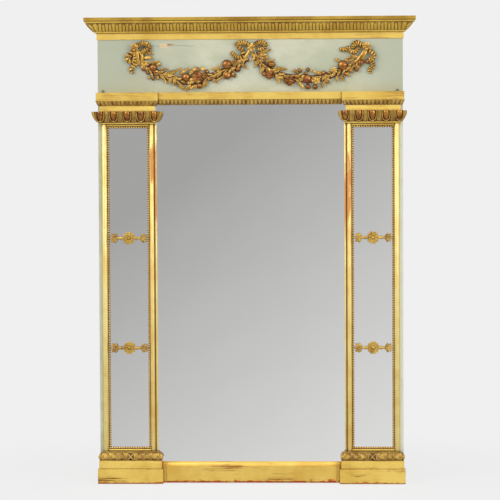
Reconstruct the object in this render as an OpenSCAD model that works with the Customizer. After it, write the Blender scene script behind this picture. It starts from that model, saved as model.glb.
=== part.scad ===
// A large gilded and painted wall mirror, in millimetres.
// Two painted stiles, a frieze board and a lower rail carry a large plate. Two pilasters of small
// plates stand on stepped bases and carry carved capitals, a frieze with two swags, and a cornice.
// X runs along the wall, Y points into the wall and Z points up. The origin is on the surface that
// the mirror stands on, in the middle of its width and its depth.

/* [Carcass] */
// Width over the two painted stiles
carcass_w = 1147; // [1120:1:1300]
// Thickness of stiles, rail and frieze board
carcass_t = 32; // [30:0.5:45]
// How far the mouldings lap over the edge of the large plate
glass_lap = 10.5; // [8:0.5:13]
// Thickness of the large plate
main_glass_t = 4; // [3:0.5:6]
// Thickness of the backboards
board_t = 10; // [8:0.5:12]
// Width of the rebates that hold the backboards
board_lap = 14; // [12:0.5:18]
// Length of each block behind the large plate
block_l = 45; // [30:1:70]
// Thickness of each block across the edge of the plate
block_t = 12; // [8:0.5:20]

/* [Heights from the floor up] */
// Height of the lower plinths
lower_plinth_h = 56; // [50:1:75]
// Height of the upper plinths
upper_plinth_h = 32; // [22:1:45]
// Height of the carved torus
torus_h = 27; // [20:1:36]
// Height of the fillet on the torus
base_fillet_h = 6; // [4:0.5:10]
// Height of the pilasters between base and capital
shaft_h = 1236; // [1150:1:1400]
// Height of the astragal under the capital
astragal_h = 7; // [5:0.5:10]
// Height of the egg band
egg_band_h = 40; // [36:0.5:46]
// Height of the capital's neck
neck_h = 21; // [14:0.5:32]
// Height of the leaf-tip edge under the abacus
leaf_edge_h = 19; // [12:0.5:26]
// Height of the abacus face
abacus_h = 31; // [22:0.5:45]
// Height of the painted frieze
frieze_h = 198; // [190:1:260]
// Height of the gilt fascia under the cornice
fascia_h = 25; // [15:0.5:40]
// Height of the bead under the cornice's leaf band
cornice_bead_h = 9; // [6:0.5:12]
// Height of the leaf band
leaf_band_h = 28; // [24:0.5:40]
// Height of the fillet over the leaf band
cornice_fillet_h = 8; // [5:0.5:12]
// Thickness of the cornice's top board
top_h = 13; // [10:0.5:20]

/* [Pilasters] */
// Painted margin left outside each pilaster
reveal = 13.5; // [10:0.5:25]
// Width of the outer moulding
outer_moulding_w = 20; // [16:0.5:26]
// Width of the pearl beading
bead_w = 8; // [6:0.5:10]
// How far the beading's round is set in from the edges of its strip
bead_set = 0.5; // [0.25:0.25:1]
// Visible width of the small plates
sight_w = 144; // [130:1:165]
// Width of the inner half-round
inner_round_w = 18; // [14:0.5:24]
// Width of the groove beside the inner half-round
quirk_w = 2.5; // [1.5:0.5:4]
// Width of the fillet beside the large plate
inner_fillet_w = 6.5; // [4:0.5:9]
// Depth of the mouldings below their half-rounds
moulding_base = 11; // [8:0.5:15]
// How far a half-round is set in from the edges of its base
round_set = 1; // [0.5:0.25:2]
// Width of the short rails at the ends of each pilaster
end_rail_w = 8; // [6:0.5:14]
// Thickness of the small plates
side_glass_t = 3; // [2:0.5:5]
// Visible height of each lower small plate
lower_plate_h = 375; // [330:1:420]
// Height of each middle small plate
middle_plate_h = 415; // [350:1:460]

/* [Rosette bars] */
// Radius of the rosette
rosette_r = 23; // [16:0.5:28]
// Radius of the raised boss in the rosette
rosette_boss_r = 8; // [5:0.5:11]
// Thickness of the rosette's disc
rosette_t = 7; // [4:0.5:10]
// Depth of the middles of the boss and the petals in the disc
rosette_sink = 1; // [0.5:0.5:2]
// Width of the gaps between the petals
petal_gap = 1; // [0.5:0.25:2]
// Radius of the balls beside the rosette
bar_ball_r = 7; // [6:0.5:9]
// Radius of the turned arms
bar_r = 5; // [3.5:0.5:7]
// How far the arms' middle line lies in front of the small plates
bar_out = 1; // [0.5:0.5:2]
// Half-height of the leaf at each end of a bar
bar_leaf_h = 18; // [12:0.5:24]
// Length of the leaf at each end of a bar
bar_leaf_l = 24; // [16:0.5:30]

/* [Capitals] */
// How far the capitals sit outboard of their pilasters
capital_shift = 5; // [0:0.5:8]
// Width of the astragal's core
astragal_w = 207; // [195:1:215]
// Depth of the astragal's core in front of the carcass
astragal_out = 21; // [18:0.5:26]
// Width of the egg band at its foot
egg_foot_w = 220; // [205:1:228]
// Depth of the egg band at its foot
egg_foot_out = 24; // [20:0.5:26]
// How far the egg band flares out on each side
egg_flare = 20; // [15:0.5:22]
// Spacing of the eggs
egg_pitch = 51; // [46:0.5:54]
// Number of eggs on the front of each capital
egg_count = 5; // [3:2:5]
// Radius of each egg at its widest
egg_r = 11.5; // [8:0.5:13]
// Radius of the tongue between two eggs
tongue_r = 6; // [4:0.5:8]
// How far the eggs and tongues stand proud of the band's upper edge
egg_proud = 3.5; // [2:0.5:5]
// How far the points of the eggs end over the band's foot
egg_rise = 5; // [3:0.5:8]
// Width of the neck
neck_w = 206; // [195:1:216]
// Depth of the neck in front of the carcass
neck_out = 26; // [20:0.5:32]
// Width of the abacus
abacus_w = 233; // [222:1:237]
// Depth of the abacus in front of the carcass
abacus_out = 37; // [34:0.5:46]
// How far the foot of the leaf-tip edge lies behind the abacus face
leaf_edge_in = 10; // [6:0.5:11]
// How far the faces over the leaf-tip edges stand in front of them
leaf_edge_step = 1; // [0.5:0.5:2]

/* [Bases] */
// How far the lower plinth reaches past the pilaster on each side
lower_plinth_over = 20; // [15:0.5:28]
// Depth of the lower plinth in front of the carcass
lower_plinth_out = 40; // [34:0.5:48]
// How far the upper plinth reaches past the pilaster on each side
upper_plinth_over = 15; // [10:0.5:20]
// Depth of the upper plinth in front of the carcass
upper_plinth_out = 35; // [28:0.5:42]
// How far the base fillet reaches past the pilaster on each side
base_fillet_over = 4; // [2:0.5:8]
// Depth of the base fillet in front of the carcass
base_fillet_out = 25; // [21:0.5:28]

/* [Architrave and lower moulding] */
// Height of the architrave's plain face
architrave_h = 27.5; // [20:0.5:34]
// Depth of the architrave in front of the carcass
architrave_out = 19; // [14:0.5:26]
// Width of the leaf-tip edge's lip
architrave_lip = 12; // [8:0.5:14]
// Height of the lower moulding's underside over the floor
lower_gap = 2; // [1:0.5:10]
// Height of the lower moulding's bottom fillet
lower_fillet_h = 6.5; // [4:0.5:10]
// Height of the lower moulding's face
lower_face_h = 54; // [40:0.5:70]
// Height of the hollow on top of the lower moulding
hollow_h = 18.5; // [15:0.5:26]
// Depth of the lower moulding in front of the carcass
lower_moulding_out = 20; // [16:0.5:28]
// How far the bottom fillet and the ends lie behind the face
lower_setback = 3; // [1:0.5:6]
// Width of the set-back ends of the lower moulding
lower_end_w = 12; // [8:0.5:20]
// Height of the step under the hollow
hollow_step = 2; // [1:0.5:4]

/* [Cornice] */
// How far the cornice reaches past the carcass in front and at the sides
cornice_out = 48; // [47:0.5:60]
// Thickness of the gilt fascia
fascia_t = 3; // [2:0.5:5]
// How far the bead under the leaf band reaches out
cornice_bead_out = 12; // [11:0.5:18]
// How far the top of the leaf band reaches out
leaf_band_out = 36.5; // [36:0.5:43]
// How far the leaf band swells out between its edges
leaf_band_swell = 1; // [1:0.25:4]
// How far the fillet over the leaf band reaches out
cornice_fillet_out = 45; // [44:0.5:46.5]

/* [Swags and bows] */
// Distance of the outer ends of the swags from the middle
swag_outer = 416; // [380:1:430]
// Distance of the inner ends of the swags from the middle
swag_inner = 30; // [20:1:50]
// Height of the swags' ends over the frieze's lower edge
swag_end_h = 104; // [96:1:112]
// How far the swags hang below their ends
swag_sag = 62; // [50:1:70]
// Radius of the stem that the leaves and fruits grow from
stem_r = 7; // [5:0.5:10]
// Length of a leaf
leaf_l = 36; // [26:1:44]
// Width of a leaf
leaf_w = 13; // [9:0.5:18]
// Number of leaves on each swag
leaf_count = 34; // [20:1:40]
// Angle at which the leaves spread from the stem
leaf_spread = 38; // [20:1:60]
// How far the ribbon's end reaches past the outer end of a swag
swag_tail_l = 26; // [15:1:35]
// How far the ribbon's end hangs below the end of a swag
swag_tail_h = 28; // [15:1:40]
// Height of the bow knots over the frieze's lower edge
bow_h = 164; // [158:1:174]
// How far the outer bows sit inside the outer ends of the swags
bow_inset = 8; // [0:1:20]
// Radius of a bow's round loops
bow_loop_r = 9; // [6:0.5:12]
// Radius of the bow's rolled ribbon
ribbon_r = 5; // [3.5:0.5:6]

/* [Hangers] */
// Depth of the hinge pins below the cornice's top board
hanger_drop = 183; // [120:1:260]
// Width of the iron straps
strap_w = 28; // [26:0.5:36]
// Length of the iron straps
strap_l = 112; // [105:1:140]
// Thickness of the iron straps
strap_t = 2.5; // [2:0.25:3]
// Depth of the pockets in the stiles
pocket_d = 10.5; // [10:0.25:12]
// Distance of the hinge pin from the pocket's floor
pin_off = 5.5; // [5:0.25:6]
// Radius of the hinge pins
pin_r = 2; // [1.5:0.1:2.4]
// Radius of the hinge knuckles
knuckle_r = 4; // [3.6:0.1:4.4]
// Width of the middle knuckle
middle_knuckle_w = 12; // [9:0.5:14]
// Thickness of the swinging eye plates
eye_t = 3; // [2:0.25:4]
// Radius of the hole in an eye plate
eye_hole_r = 7; // [5:0.25:8]
// Outer radius of an eye plate
eye_r = 15; // [12:0.5:16]
// Distance of the hole from the hinge pin
eye_reach = 25; // [23:0.5:30]
// How far the hinge pin's heads reach over its shank, and their thickness
pin_head = 1; // [0.5:0.1:1.2]
// Room round a hanger in its pocket
pocket_gap = 2; // [1.5:0.5:4]

/* [Screws] */
// Number of screws on each side of a backboard
board_screws = 4; // [2:1:6]
// Distance of the outermost screws from a backboard's ends
board_screw_edge = 60; // [20:1:100]
// Distance of the lowest strap screw from the strap's end
strap_screw_edge = 10; // [8:0.5:14]
// Spacing of the strap screws
strap_screw_pitch = 22; // [15:0.5:26]
// Radius of a screw's shank
screw_r = 1.75; // [1.25:0.05:2]
// Radius of a screw's head
screw_head_r = 3.6; // [3:0.1:4.2]
// Length of a screw
screw_l = 16; // [12:0.5:18]
// Radius of a screw eye's ring
ring_r = 3.6; // [3:0.1:5]
// Radius of a screw eye's wire
ring_wire_r = 1.2; // [0.8:0.1:1.5]
// Distance of the screw eyes from the outer ends of the abacus blocks
ring_in = 25; // [10:0.5:45]
// Depth of a screw eye's shank in the abacus
ring_shank_l = 12; // [8:0.5:18]
// Distance of the screw eyes in front of the carcass
ring_out = 8; // [6:0.5:14]

/* [Clearances] */
// Gap between two lengths of trim that meet
joint_gap = 0.2; // [0.1:0.05:0.4]
// Gap round a plate or a board in its rebate
plate_gap = 0.5; // [0.3:0.1:1]
// Gap round a screw in its hole
screw_gap = 0.05; // [0.04:0.01:0.1]
// Running gap of the hinge pin in the middle knuckle
pin_gap = 0.06; // [0.04:0.01:0.08]
// Gap between the knuckles of a hinge
knuckle_gap = 0.4; // [0.3:0.05:0.6]

/* [Hidden] */
$fn = 48;

// Colours of the finishes
gold = "goldenrod";
old_gold = "darkgoldenrod";
brown_gold = "peru";
paint = "lightgray";
pine = "burlywood";
silvered = "silver";
iron = "dimgray";

// Heights of the levels over the floor
z_upper_plinth = lower_plinth_h;
z_torus = z_upper_plinth + upper_plinth_h;
z_shaft = z_torus + torus_h + base_fillet_h;
z_astragal = z_shaft + shaft_h;
z_egg_band = z_astragal + astragal_h;
z_neck = z_egg_band + egg_band_h;
z_leaf_edge = z_neck + neck_h;
z_abacus = z_leaf_edge + leaf_edge_h;
z_frieze = z_abacus + abacus_h;
z_fascia = z_frieze + frieze_h;
z_cornice = z_fascia + fascia_h;
z_leaf_band = z_cornice + cornice_bead_h;
z_cornice_fillet = z_leaf_band + leaf_band_h;
z_top = z_cornice_fillet + cornice_fillet_h;
sight_bottom = lower_gap + lower_fillet_h + lower_face_h + hollow_h;
sight_top = z_frieze - architrave_h - leaf_edge_h;

// Planes from front to back
wall_y = (carcass_t + cornice_out) / 2;
face_y = wall_y - carcass_t;
main_back_y = face_y + main_glass_t;
board_y = wall_y - board_t;
side_glass_y = face_y - side_glass_t;
pocket_y = wall_y - pocket_d;

// Places across the width, for the right side
pilaster_out_x = carcass_w / 2 - reveal;
inner_moulding_w = inner_round_w + quirk_w + inner_fillet_w;
pilaster_w = outer_moulding_w + 2 * bead_w + sight_w + inner_moulding_w;
pilaster_in_x = pilaster_out_x - pilaster_w;
pilaster_x = (pilaster_in_x + pilaster_out_x) / 2;
panel_in_x = pilaster_in_x + inner_moulding_w;
panel_out_x = pilaster_out_x - outer_moulding_w;
panel_x = (panel_in_x + panel_out_x) / 2;
stile_in_x = pilaster_in_x + glass_lap;
stile_w = carcass_w / 2 - stile_in_x;
capital_x = pilaster_x + capital_shift;
abacus_in_x = capital_x - abacus_w / 2;
ring_x = capital_x + abacus_w / 2 - ring_in;
plinth_in_x = pilaster_in_x - lower_plinth_over;
rail_top = sight_bottom - glass_lap;
frieze_bottom = sight_top + glass_lap;

// The panels of small plates
panel_bottom = z_shaft + end_rail_w;
panel_top = z_astragal - end_rail_w;
lower_joint = panel_bottom + bead_w + lower_plate_h;
upper_joint = lower_joint + middle_plate_h;
lower_glass = [panel_bottom, lower_joint - joint_gap / 2];
middle_glass = [lower_joint + joint_gap / 2, upper_joint - joint_gap / 2];
upper_glass = [upper_joint + joint_gap / 2, panel_top];

// The backs of boards and their screws
board_half_w = stile_in_x + board_lap - plate_gap;
board_bottom = rail_top - board_lap + plate_gap;
board_top = frieze_bottom + board_lap - plate_gap;
board_joint = (board_bottom + board_top) / 2;
lower_board = [board_bottom, board_joint - plate_gap];
upper_board = [board_joint, board_top];
board_screw_x = stile_in_x + board_lap / 2;

// The hangers
hanger_h = z_top - hanger_drop;
hanger_x = stile_in_x + board_lap + (stile_w - board_lap) / 2;
pin_y = pocket_y + pin_off;
strap_screw_z = [for (i = [0:2]) hanger_h - strap_l + strap_screw_edge + i * strap_screw_pitch];
pocket_w = max(strap_w, 2 * eye_r) + 2 * pocket_gap;
pocket_top = hanger_h + eye_reach + eye_r + pocket_gap;
pocket_bottom = hanger_h - strap_l - pocket_gap;
sink_h = screw_head_r - screw_r;

// Fruits and roses on a swag: place along it, height over its middle line, radius
swag_fruits = [
  [0.05, -14, 10], [0.15, 8, 17], [0.17, -24, 15], [0.36, 14, 8], [0.42, 16, 20],
  [0.44, -22, 12], [0.53, 6, 15], [0.7, -10, 12], [0.81, 12, 15], [0.84, -18, 9],
  [0.93, -14, 8], [0.3, -6, 12]
];

// Where the bows' tails end beside and below their knots
bow_x = swag_outer - bow_inset;
outer_tails = [[8, -32], [-20, -20]];
middle_tails = [[-46, -30], [16, -24]];

// Long enough to cut or to fill right through
through = 3000;

// How far a cut reaches past the face it opens
over_cut = 1;

module on_side(side) {
  mirror([side < 0 ? 1 : 0, 0, 0]) children();
}

module box_from(low, high) {
  translate(low) cube(high - low);
}

// A length of moulding along X. Its profile is drawn with X as the distance out from the carcass
// face and Y as the height.
module front_run(x0, x1) {
  translate([x0, face_y, 0])
    rotate([90, 0, 90])
      linear_extrude(x1 - x0)
        mirror([1, 0])
          children();
}

// The same along Y, on the right of the plane x = at.
module side_run(at, y0, y1) {
  translate([at, y1, 0])
    rotate([90, 0, 0])
      linear_extrude(y1 - y0)
        children();
}

// Carries a profile round the front and both ends of a block whose profile counts from its core,
// with the core's front face core_out in front of the carcass. The profile reaches back to -$back.
module mitred_band(x, core_w, core_out, most) {
  y0 = face_y - core_out - most;
  side_at = core_w / 2;
  intersection() {
    translate([0, -core_out, 0])
      front_run(x - core_w / 2 - most, x + core_w / 2 + most, $back = core_out)
        children();
    translate([x, 0, 0]) side_run(side_at, y0, face_y, $back = core_w + most) children();
    translate([x, 0, 0])
      mirror([1, 0, 0])
        side_run(side_at, y0, face_y, $back = core_w + most)
          children();
  }
}

// A length of moulding along Z, from its plan profile.
module upright(z0, z1) {
  translate([0, 0, z0]) linear_extrude(z1 - z0) children();
}

// A countersunk screw that points along -Y from the origin, grown by gap for its hole.
module screw(gap = 0) {
  rotate([90, 0, 0]) {
    cylinder(r = screw_r + gap, h = screw_l + gap);
    cylinder(r1 = screw_head_r + gap, r2 = screw_r + gap, h = sink_h);
  }
}

// The screws of one board, from its lower to its upper edge, on the right side.
module board_screw_places(board) {
  run = board[1] - board[0] - 2 * board_screw_edge;
  for (i = [0:board_screws - 1])
    translate([board_screw_x, wall_y, board[0] + board_screw_edge + run * i / (board_screws - 1)])
      children();
}

module all_board_screw_places() {
  for (board = [lower_board, upper_board]) board_screw_places(board) children();
}

module strap_screw_places() {
  for (z = strap_screw_z) translate([hanger_x, pocket_y + strap_t, z]) children();
}

// Carcass

module stile_blank() {
  difference() {
    box_from([stile_in_x, face_y, 0], [carcass_w / 2, wall_y, z_top]);
    box_from([stile_in_x - over_cut, board_y, board_bottom - plate_gap],
             [stile_in_x + board_lap, wall_y + over_cut, board_top + plate_gap]);
    box_from([hanger_x - pocket_w / 2, pocket_y, pocket_bottom],
             [hanger_x + pocket_w / 2, wall_y + over_cut, pocket_top]);
    strap_screw_places() screw(screw_gap);
    all_board_screw_places() screw(screw_gap);
  }
}

module stile(side) {
  color(paint) on_side(side) stile_blank();
}

module frieze_board() {
  color(paint)
    difference() {
      box_from([-stile_in_x, face_y, frieze_bottom], [stile_in_x, wall_y, z_top]);
      box_from([-through, board_y, 0], [through, wall_y + over_cut, board_top + plate_gap]);
    }
}

module lower_rail() {
  color(pine)
    difference() {
      box_from([-stile_in_x, face_y, lower_gap], [stile_in_x, wall_y, rail_top]);
      box_from([-through, board_y, board_bottom - plate_gap], [through, wall_y + over_cut, through]);
    }
}

module main_glass() {
  color(silvered)
    box_from([plate_gap - stile_in_x, face_y, rail_top + plate_gap],
             [stile_in_x - plate_gap, main_back_y, frieze_bottom - plate_gap]);
}

module glass_blocks() {
  side_blocks = 4;
  run = frieze_bottom - rail_top - 3 * block_l;
  color(pine) {
    for (side = [-1, 1], i = [0:side_blocks - 1])
      on_side(side)
        translate([stile_in_x - block_t, main_back_y, rail_top + block_l + run * i / (side_blocks - 1)])
          cube([block_t, board_y - main_back_y, block_l]);
    for (side = [-1, 1], z = [rail_top, frieze_bottom - block_t])
      translate([side * stile_in_x / 2 - block_l / 2, main_back_y, z])
        cube([block_l, board_y - main_back_y, block_t]);
  }
}

module backboard(board) {
  color(pine)
    difference() {
      box_from([-board_half_w, board_y, board[0]], [board_half_w, wall_y, board[1]]);
      for (side = [-1, 1]) on_side(side) board_screw_places(board) screw(screw_gap);
    }
}

module wood_screws() {
  color(iron)
    for (side = [-1, 1])
      on_side(side) {
        all_board_screw_places() screw();
        strap_screw_places() screw();
      }
}

// Cornice

// The plan of the front's length between its mitres.
module front_wedge() {
  reach = cornice_out;
  half_w = carcass_w / 2;
  polygon([
    [-half_w, face_y], [-half_w - reach, face_y - reach],
    [half_w + reach, face_y - reach], [half_w, face_y]
  ]);
}

// The plan of the right return behind its mitre.
module return_wedge() {
  reach = cornice_out;
  half_w = carcass_w / 2;
  polygon([
    [half_w, face_y + joint_gap], [half_w + reach, face_y - reach + joint_gap],
    [half_w + reach, wall_y], [half_w, wall_y]
  ]);
}

// A bead with its round in front, reaching back to -$back.
module bead_profile(out, z, h) {
  translate([-$back, z]) square([$back + out - h / 2, h]);
  translate([out - h / 2, z + h / 2]) circle(r = h / 2);
}

// An ovolo that rises from (in, z) and stands upright at (out, z + h).
module ovolo_profile(in, out, z, h) {
  rise = out - in;
  arc_r = (rise * rise + h * h) / (2 * rise);
  intersection() {
    translate([-$back, z]) square([$back + out, h]);
    union() {
      translate([-$back, z]) square([$back + out - rise, h]);
      translate([out - arc_r, z + h]) circle(r = arc_r);
    }
  }
}

// A band that slopes from (in, z) to (out, z + h) and swells out between them.
module swell_profile(in, out, z, h, swell) {
  rise = out - in;
  slope = sqrt(rise * rise + h * h);
  arc_r = (slope * slope / 4 + swell * swell) / (2 * swell);
  back = arc_r - swell;
  intersection() {
    translate([-$back, z]) square([$back + out, h]);
    translate([(in + out) / 2 - back * h / slope, z + h / 2 + back * rise / slope]) circle(r = arc_r);
  }
}

module cornice_profile() {
  bead_profile(cornice_bead_out, z_cornice, cornice_bead_h);
  swell_profile(cornice_bead_out, leaf_band_out, z_leaf_band, leaf_band_h, leaf_band_swell);
  bead_profile(cornice_fillet_out, z_cornice_fillet, cornice_fillet_h);
}

module cornice_front() {
  color(old_gold)
    intersection() {
      front_run(-carcass_w / 2 - cornice_out, carcass_w / 2 + cornice_out, $back = 0)
        cornice_profile();
      upright(0, through) front_wedge();
    }
}

module cornice_return(side) {
  color(old_gold)
    on_side(side)
      intersection() {
        side_run(carcass_w / 2, face_y - cornice_out, wall_y, $back = 0) cornice_profile();
        upright(0, through) return_wedge();
      }
}

module cornice_fascia() {
  half_w = carcass_w / 2;
  color(gold) {
    box_from([-half_w - fascia_t, face_y - fascia_t, z_fascia], [half_w + fascia_t, face_y, z_cornice]);
    for (side = [-1, 1])
      on_side(side)
        box_from([half_w, face_y + joint_gap, z_fascia], [half_w + fascia_t, wall_y, z_cornice]);
  }
}

module cornice_top() {
  half_w = carcass_w / 2 + cornice_out;
  color(old_gold)
    box_from([-half_w, face_y - cornice_out, z_top], [half_w, wall_y, z_top + top_h]);
}

// Architrave and lower moulding

module architrave() {
  half_w = abacus_in_x - joint_gap;
  face_bottom = z_frieze - architrave_h;
  color(gold)
    front_run(-half_w, half_w)
      polygon([
        [0, sight_top], [architrave_lip, sight_top], [architrave_out - leaf_edge_step, face_bottom],
        [architrave_out, face_bottom], [architrave_out, z_frieze], [0, z_frieze]
      ]);
}

// The lower moulding's outline without its raised face.
module lower_profile() {
  hollow_r = min(hollow_h - hollow_step, lower_moulding_out - lower_setback);
  difference() {
    translate([0, lower_gap]) square([lower_moulding_out - lower_setback, sight_bottom - lower_gap]);
    translate([lower_moulding_out, sight_bottom]) circle(r = hollow_r);
  }
  translate([lower_moulding_out - lower_setback, lower_gap + lower_fillet_h + lower_face_h])
    square([lower_setback, hollow_step]);
}

module lower_moulding() {
  half_w = plinth_in_x - joint_gap;
  upper_half_w = pilaster_in_x - upper_plinth_over - joint_gap;
  seat = z_upper_plinth + joint_gap;
  color(gold) {
    front_run(-half_w, half_w) lower_profile();
    // Over the lower plinths it runs on to the upper ones.
    front_run(-upper_half_w, upper_half_w)
      intersection() {
        lower_profile();
        translate([0, seat]) square([lower_moulding_out, sight_bottom - seat]);
      }
    front_run(lower_end_w - half_w, half_w - lower_end_w)
      translate([lower_moulding_out - lower_setback, lower_gap + lower_fillet_h])
        square([lower_setback, lower_face_h]);
  }
}

// Pilasters

// A half-round on its base, in plan, from x0 to x0 + w.
module half_round_plan(x0, w) {
  translate([x0, face_y - moulding_base]) square([w, moulding_base]);
  translate([x0 + w / 2, face_y - moulding_base]) circle(r = w / 2 - round_set);
}

module outer_moulding(side) {
  color(gold) on_side(side) upright(z_shaft, z_astragal) half_round_plan(panel_out_x, outer_moulding_w);
}

module inner_moulding(side) {
  quirk_x = pilaster_in_x + inner_fillet_w;
  color(gold)
    on_side(side)
      upright(z_shaft, z_astragal) {
        half_round_plan(panel_in_x - inner_round_w, inner_round_w);
        translate([quirk_x, face_y - moulding_base + quirk_w])
          square([quirk_w, moulding_base - quirk_w]);
        translate([pilaster_in_x, face_y - moulding_base]) square([inner_fillet_w, moulding_base]);
        translate([pilaster_in_x + inner_fillet_w / 2, face_y - moulding_base])
          circle(r = inner_fillet_w / 2);
      }
}

module end_rails(side) {
  color(gold)
    on_side(side)
      for (z = [z_shaft, panel_top])
        front_run(panel_in_x + joint_gap, panel_out_x - joint_gap, $back = 0)
          bead_profile(moulding_base + end_rail_w / 2, z, end_rail_w);
}

// A bead strip's section: X is its width from 0, Y its depth in front of the small plates.
module bead_section() {
  base_t = bead_w / 4;
  square([bead_w, base_t]);
  translate([bead_w / 2, base_t]) circle(r = bead_w / 2 - bead_set);
}

module bead_half() {
  intersection() {
    square([bead_w, bead_w]);
    bead_section();
  }
}

module bead_strips(side) {
  inner_run = panel_out_x - panel_in_x - 2 * (bead_w + joint_gap);
  color(gold)
    on_side(side) {
      for (x = [panel_in_x, panel_out_x - bead_w])
        upright(panel_bottom, panel_top)
          translate([x, side_glass_y]) mirror([0, 1]) bead_half();
      for (z = [panel_bottom, panel_top - bead_w])
        translate([panel_x - inner_run / 2, side_glass_y, z])
          rotate([90, 0, 90])
            linear_extrude(inner_run)
              rotate(90) bead_half();
    }
}

module side_glass(side, z0, z1) {
  color(silvered)
    on_side(side)
      box_from([panel_in_x + joint_gap, side_glass_y, z0], [panel_out_x - joint_gap, face_y, z1]);
}

// A turned leaf along Z that narrows to a point at both ends.
module spindle(r, half_l) {
  for (turn = [0, 180])
    rotate([turn, 0, 0])
      cylinder(r1 = r, r2 = 0.5, h = half_l);
}

module rosette_bar(side, z) {
  half_l = sight_w / 2 - joint_gap;
  petals = 8;
  petal_x = (rosette_r + rosette_boss_r) / 2;
  petal_r = petal_x * sin(180 / petals) - petal_gap / 2;
  leaf_x = half_l - bar_leaf_l / 2;
  color(old_gold)
    on_side(side)
      translate([panel_x, side_glass_y, z])
        intersection() {
          box_from([-half_l, -through, -through], [half_l, 0, through]);
          union() {
            rotate([90, 0, 0]) cylinder(r = rosette_r, h = rosette_t);
            translate([0, rosette_sink - rosette_t, 0]) sphere(r = rosette_boss_r);
            for (i = [0:petals - 1])
              rotate([0, 360 * i / petals, 0])
                translate([petal_x, rosette_sink - rosette_t, 0]) sphere(r = petal_r);
            translate([0, -bar_out, 0])
              rotate([0, 90, 0])
                cylinder(r = bar_r, h = 2 * half_l, center = true);
            for (end = [-1, 1]) {
              translate([end * (rosette_r + bar_r), -bar_out, 0]) sphere(r = bar_ball_r);
              translate([end * leaf_x, -bar_out, 0]) {
                spindle(bar_leaf_l / 3, bar_leaf_h);
                rotate([0, 90, 0]) spindle(bar_leaf_h / 2, bar_leaf_l);
              }
            }
          }
        }
}

// Capitals

module astragal(side) {
  color(gold)
    on_side(side)
      mitred_band(capital_x, astragal_w, astragal_out, astragal_h)
        bead_profile(astragal_h / 2, z_astragal, astragal_h);
}

// One egg, widest at the band's top edge and pointed at its foot, leaning out with the flare.
module egg(r) {
  lean = atan(egg_flare / egg_band_h);
  translate([0, r / cos(lean) - egg_proud - egg_rise * tan(lean), z_egg_band + egg_rise])
    rotate([lean, 0, 0])
      cylinder(r1 = r / 3, r2 = r, h = egg_band_h / cos(lean));
}

module egg_band(side) {
  first = -(egg_count - 1) / 2;
  side_egg_y = face_y - egg_foot_out / 2;
  color(brown_gold)
    on_side(side)
      difference() {
        union() {
          mitred_band(capital_x, egg_foot_w, egg_foot_out, egg_flare)
            ovolo_profile(0, egg_flare, z_egg_band, egg_band_h);
          for (i = [0:egg_count - 1])
            translate([capital_x + (first + i) * egg_pitch, face_y - egg_foot_out, 0]) egg(egg_r);
          for (i = [0:egg_count - 2])
            translate([capital_x + (first + i + 0.5) * egg_pitch, face_y - egg_foot_out, 0])
              egg(tongue_r);
          for (turn = [-1, 1])
            translate([capital_x + turn * egg_foot_w / 2, side_egg_y, 0])
              rotate([0, 0, turn * 90])
                egg(egg_r);
        }
        box_from([0, -through, z_neck], [through, through, through]);
        box_from([0, -through, -through], [through, through, z_egg_band]);
      }
}

module neck(side) {
  color(gold)
    on_side(side)
      box_from([capital_x - neck_w / 2, face_y - neck_out, z_neck],
               [capital_x + neck_w / 2, face_y, z_leaf_edge]);
}

module abacus_profile() {
  polygon([
    [-$back, z_leaf_edge], [-leaf_edge_in, z_leaf_edge], [-leaf_edge_step, z_abacus], [0, z_abacus],
    [0, z_frieze], [-$back, z_frieze]
  ]);
}

module abacus(side) {
  color(gold)
    on_side(side)
      difference() {
        mitred_band(capital_x, abacus_w, abacus_out, over_cut) abacus_profile();
        translate([ring_x, face_y - ring_out, z_frieze - ring_shank_l - screw_gap])
          cylinder(r = ring_wire_r + screw_gap, h = through);
      }
}

module screw_eyes() {
  ring_z = ring_r + ring_wire_r;
  color(iron)
    for (side = [-1, 1])
      on_side(side)
        translate([ring_x, face_y - ring_out, z_frieze]) {
          translate([0, 0, ring_z])
            rotate([90, 0, 0])
              rotate_extrude()
                translate([ring_r, 0]) circle(r = ring_wire_r);
          translate([0, 0, -ring_shank_l]) cylinder(r = ring_wire_r, h = ring_shank_l + ring_wire_r);
        }
}

// Bases

module torus(side) {
  torus_r = torus_h / 2;
  over = upper_plinth_over - torus_r;
  half_w = pilaster_w / 2 + base_fillet_over;
  color(gold)
    on_side(side) {
      mitred_band(pilaster_x, pilaster_w + 2 * over, upper_plinth_out - torus_r, torus_r)
        bead_profile(torus_r, z_torus, torus_h);
      box_from([pilaster_x - half_w, face_y - base_fillet_out, z_torus + torus_h],
               [pilaster_x + half_w, face_y, z_shaft]);
    }
}

module plinth(side, over, out, z0, z1) {
  color(gold)
    on_side(side)
      box_from([pilaster_in_x - over, face_y - out, z0], [pilaster_out_x + over, face_y, z1]);
}

// Swags and bows, laid on the frieze and cut flat at its face

module on_frieze() {
  intersection() {
    children();
    box_from([-through, -through, 0], [through, face_y, through]);
  }
}

// A point of the right swag, from its inner end at 0 to its outer end at 1.
function swag_point(t) = [
  swag_inner + t * (swag_outer - swag_inner),
  face_y - stem_r,
  z_frieze + swag_end_h - swag_sag * sin(180 * t)
];

// The angle at which the swag climbs there.
function swag_slope(t) = atan2(-swag_sag * PI * cos(180 * t), swag_outer - swag_inner);

// One leaf that grows from the origin along X.
module leaf(l, w) {
  root_r = 2;
  tip_r = 1.2;
  widest = 0.45 * l;
  lift = 4;
  hull() {
    sphere(r = root_r, $fn = 6);
    translate([widest, -lift / 2, 0]) scale([1, 0.5, 1]) sphere(r = w / 2, $fn = 8);
    translate([l, -lift, 0]) sphere(r = tip_r, $fn = 4);
  }
}

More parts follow.
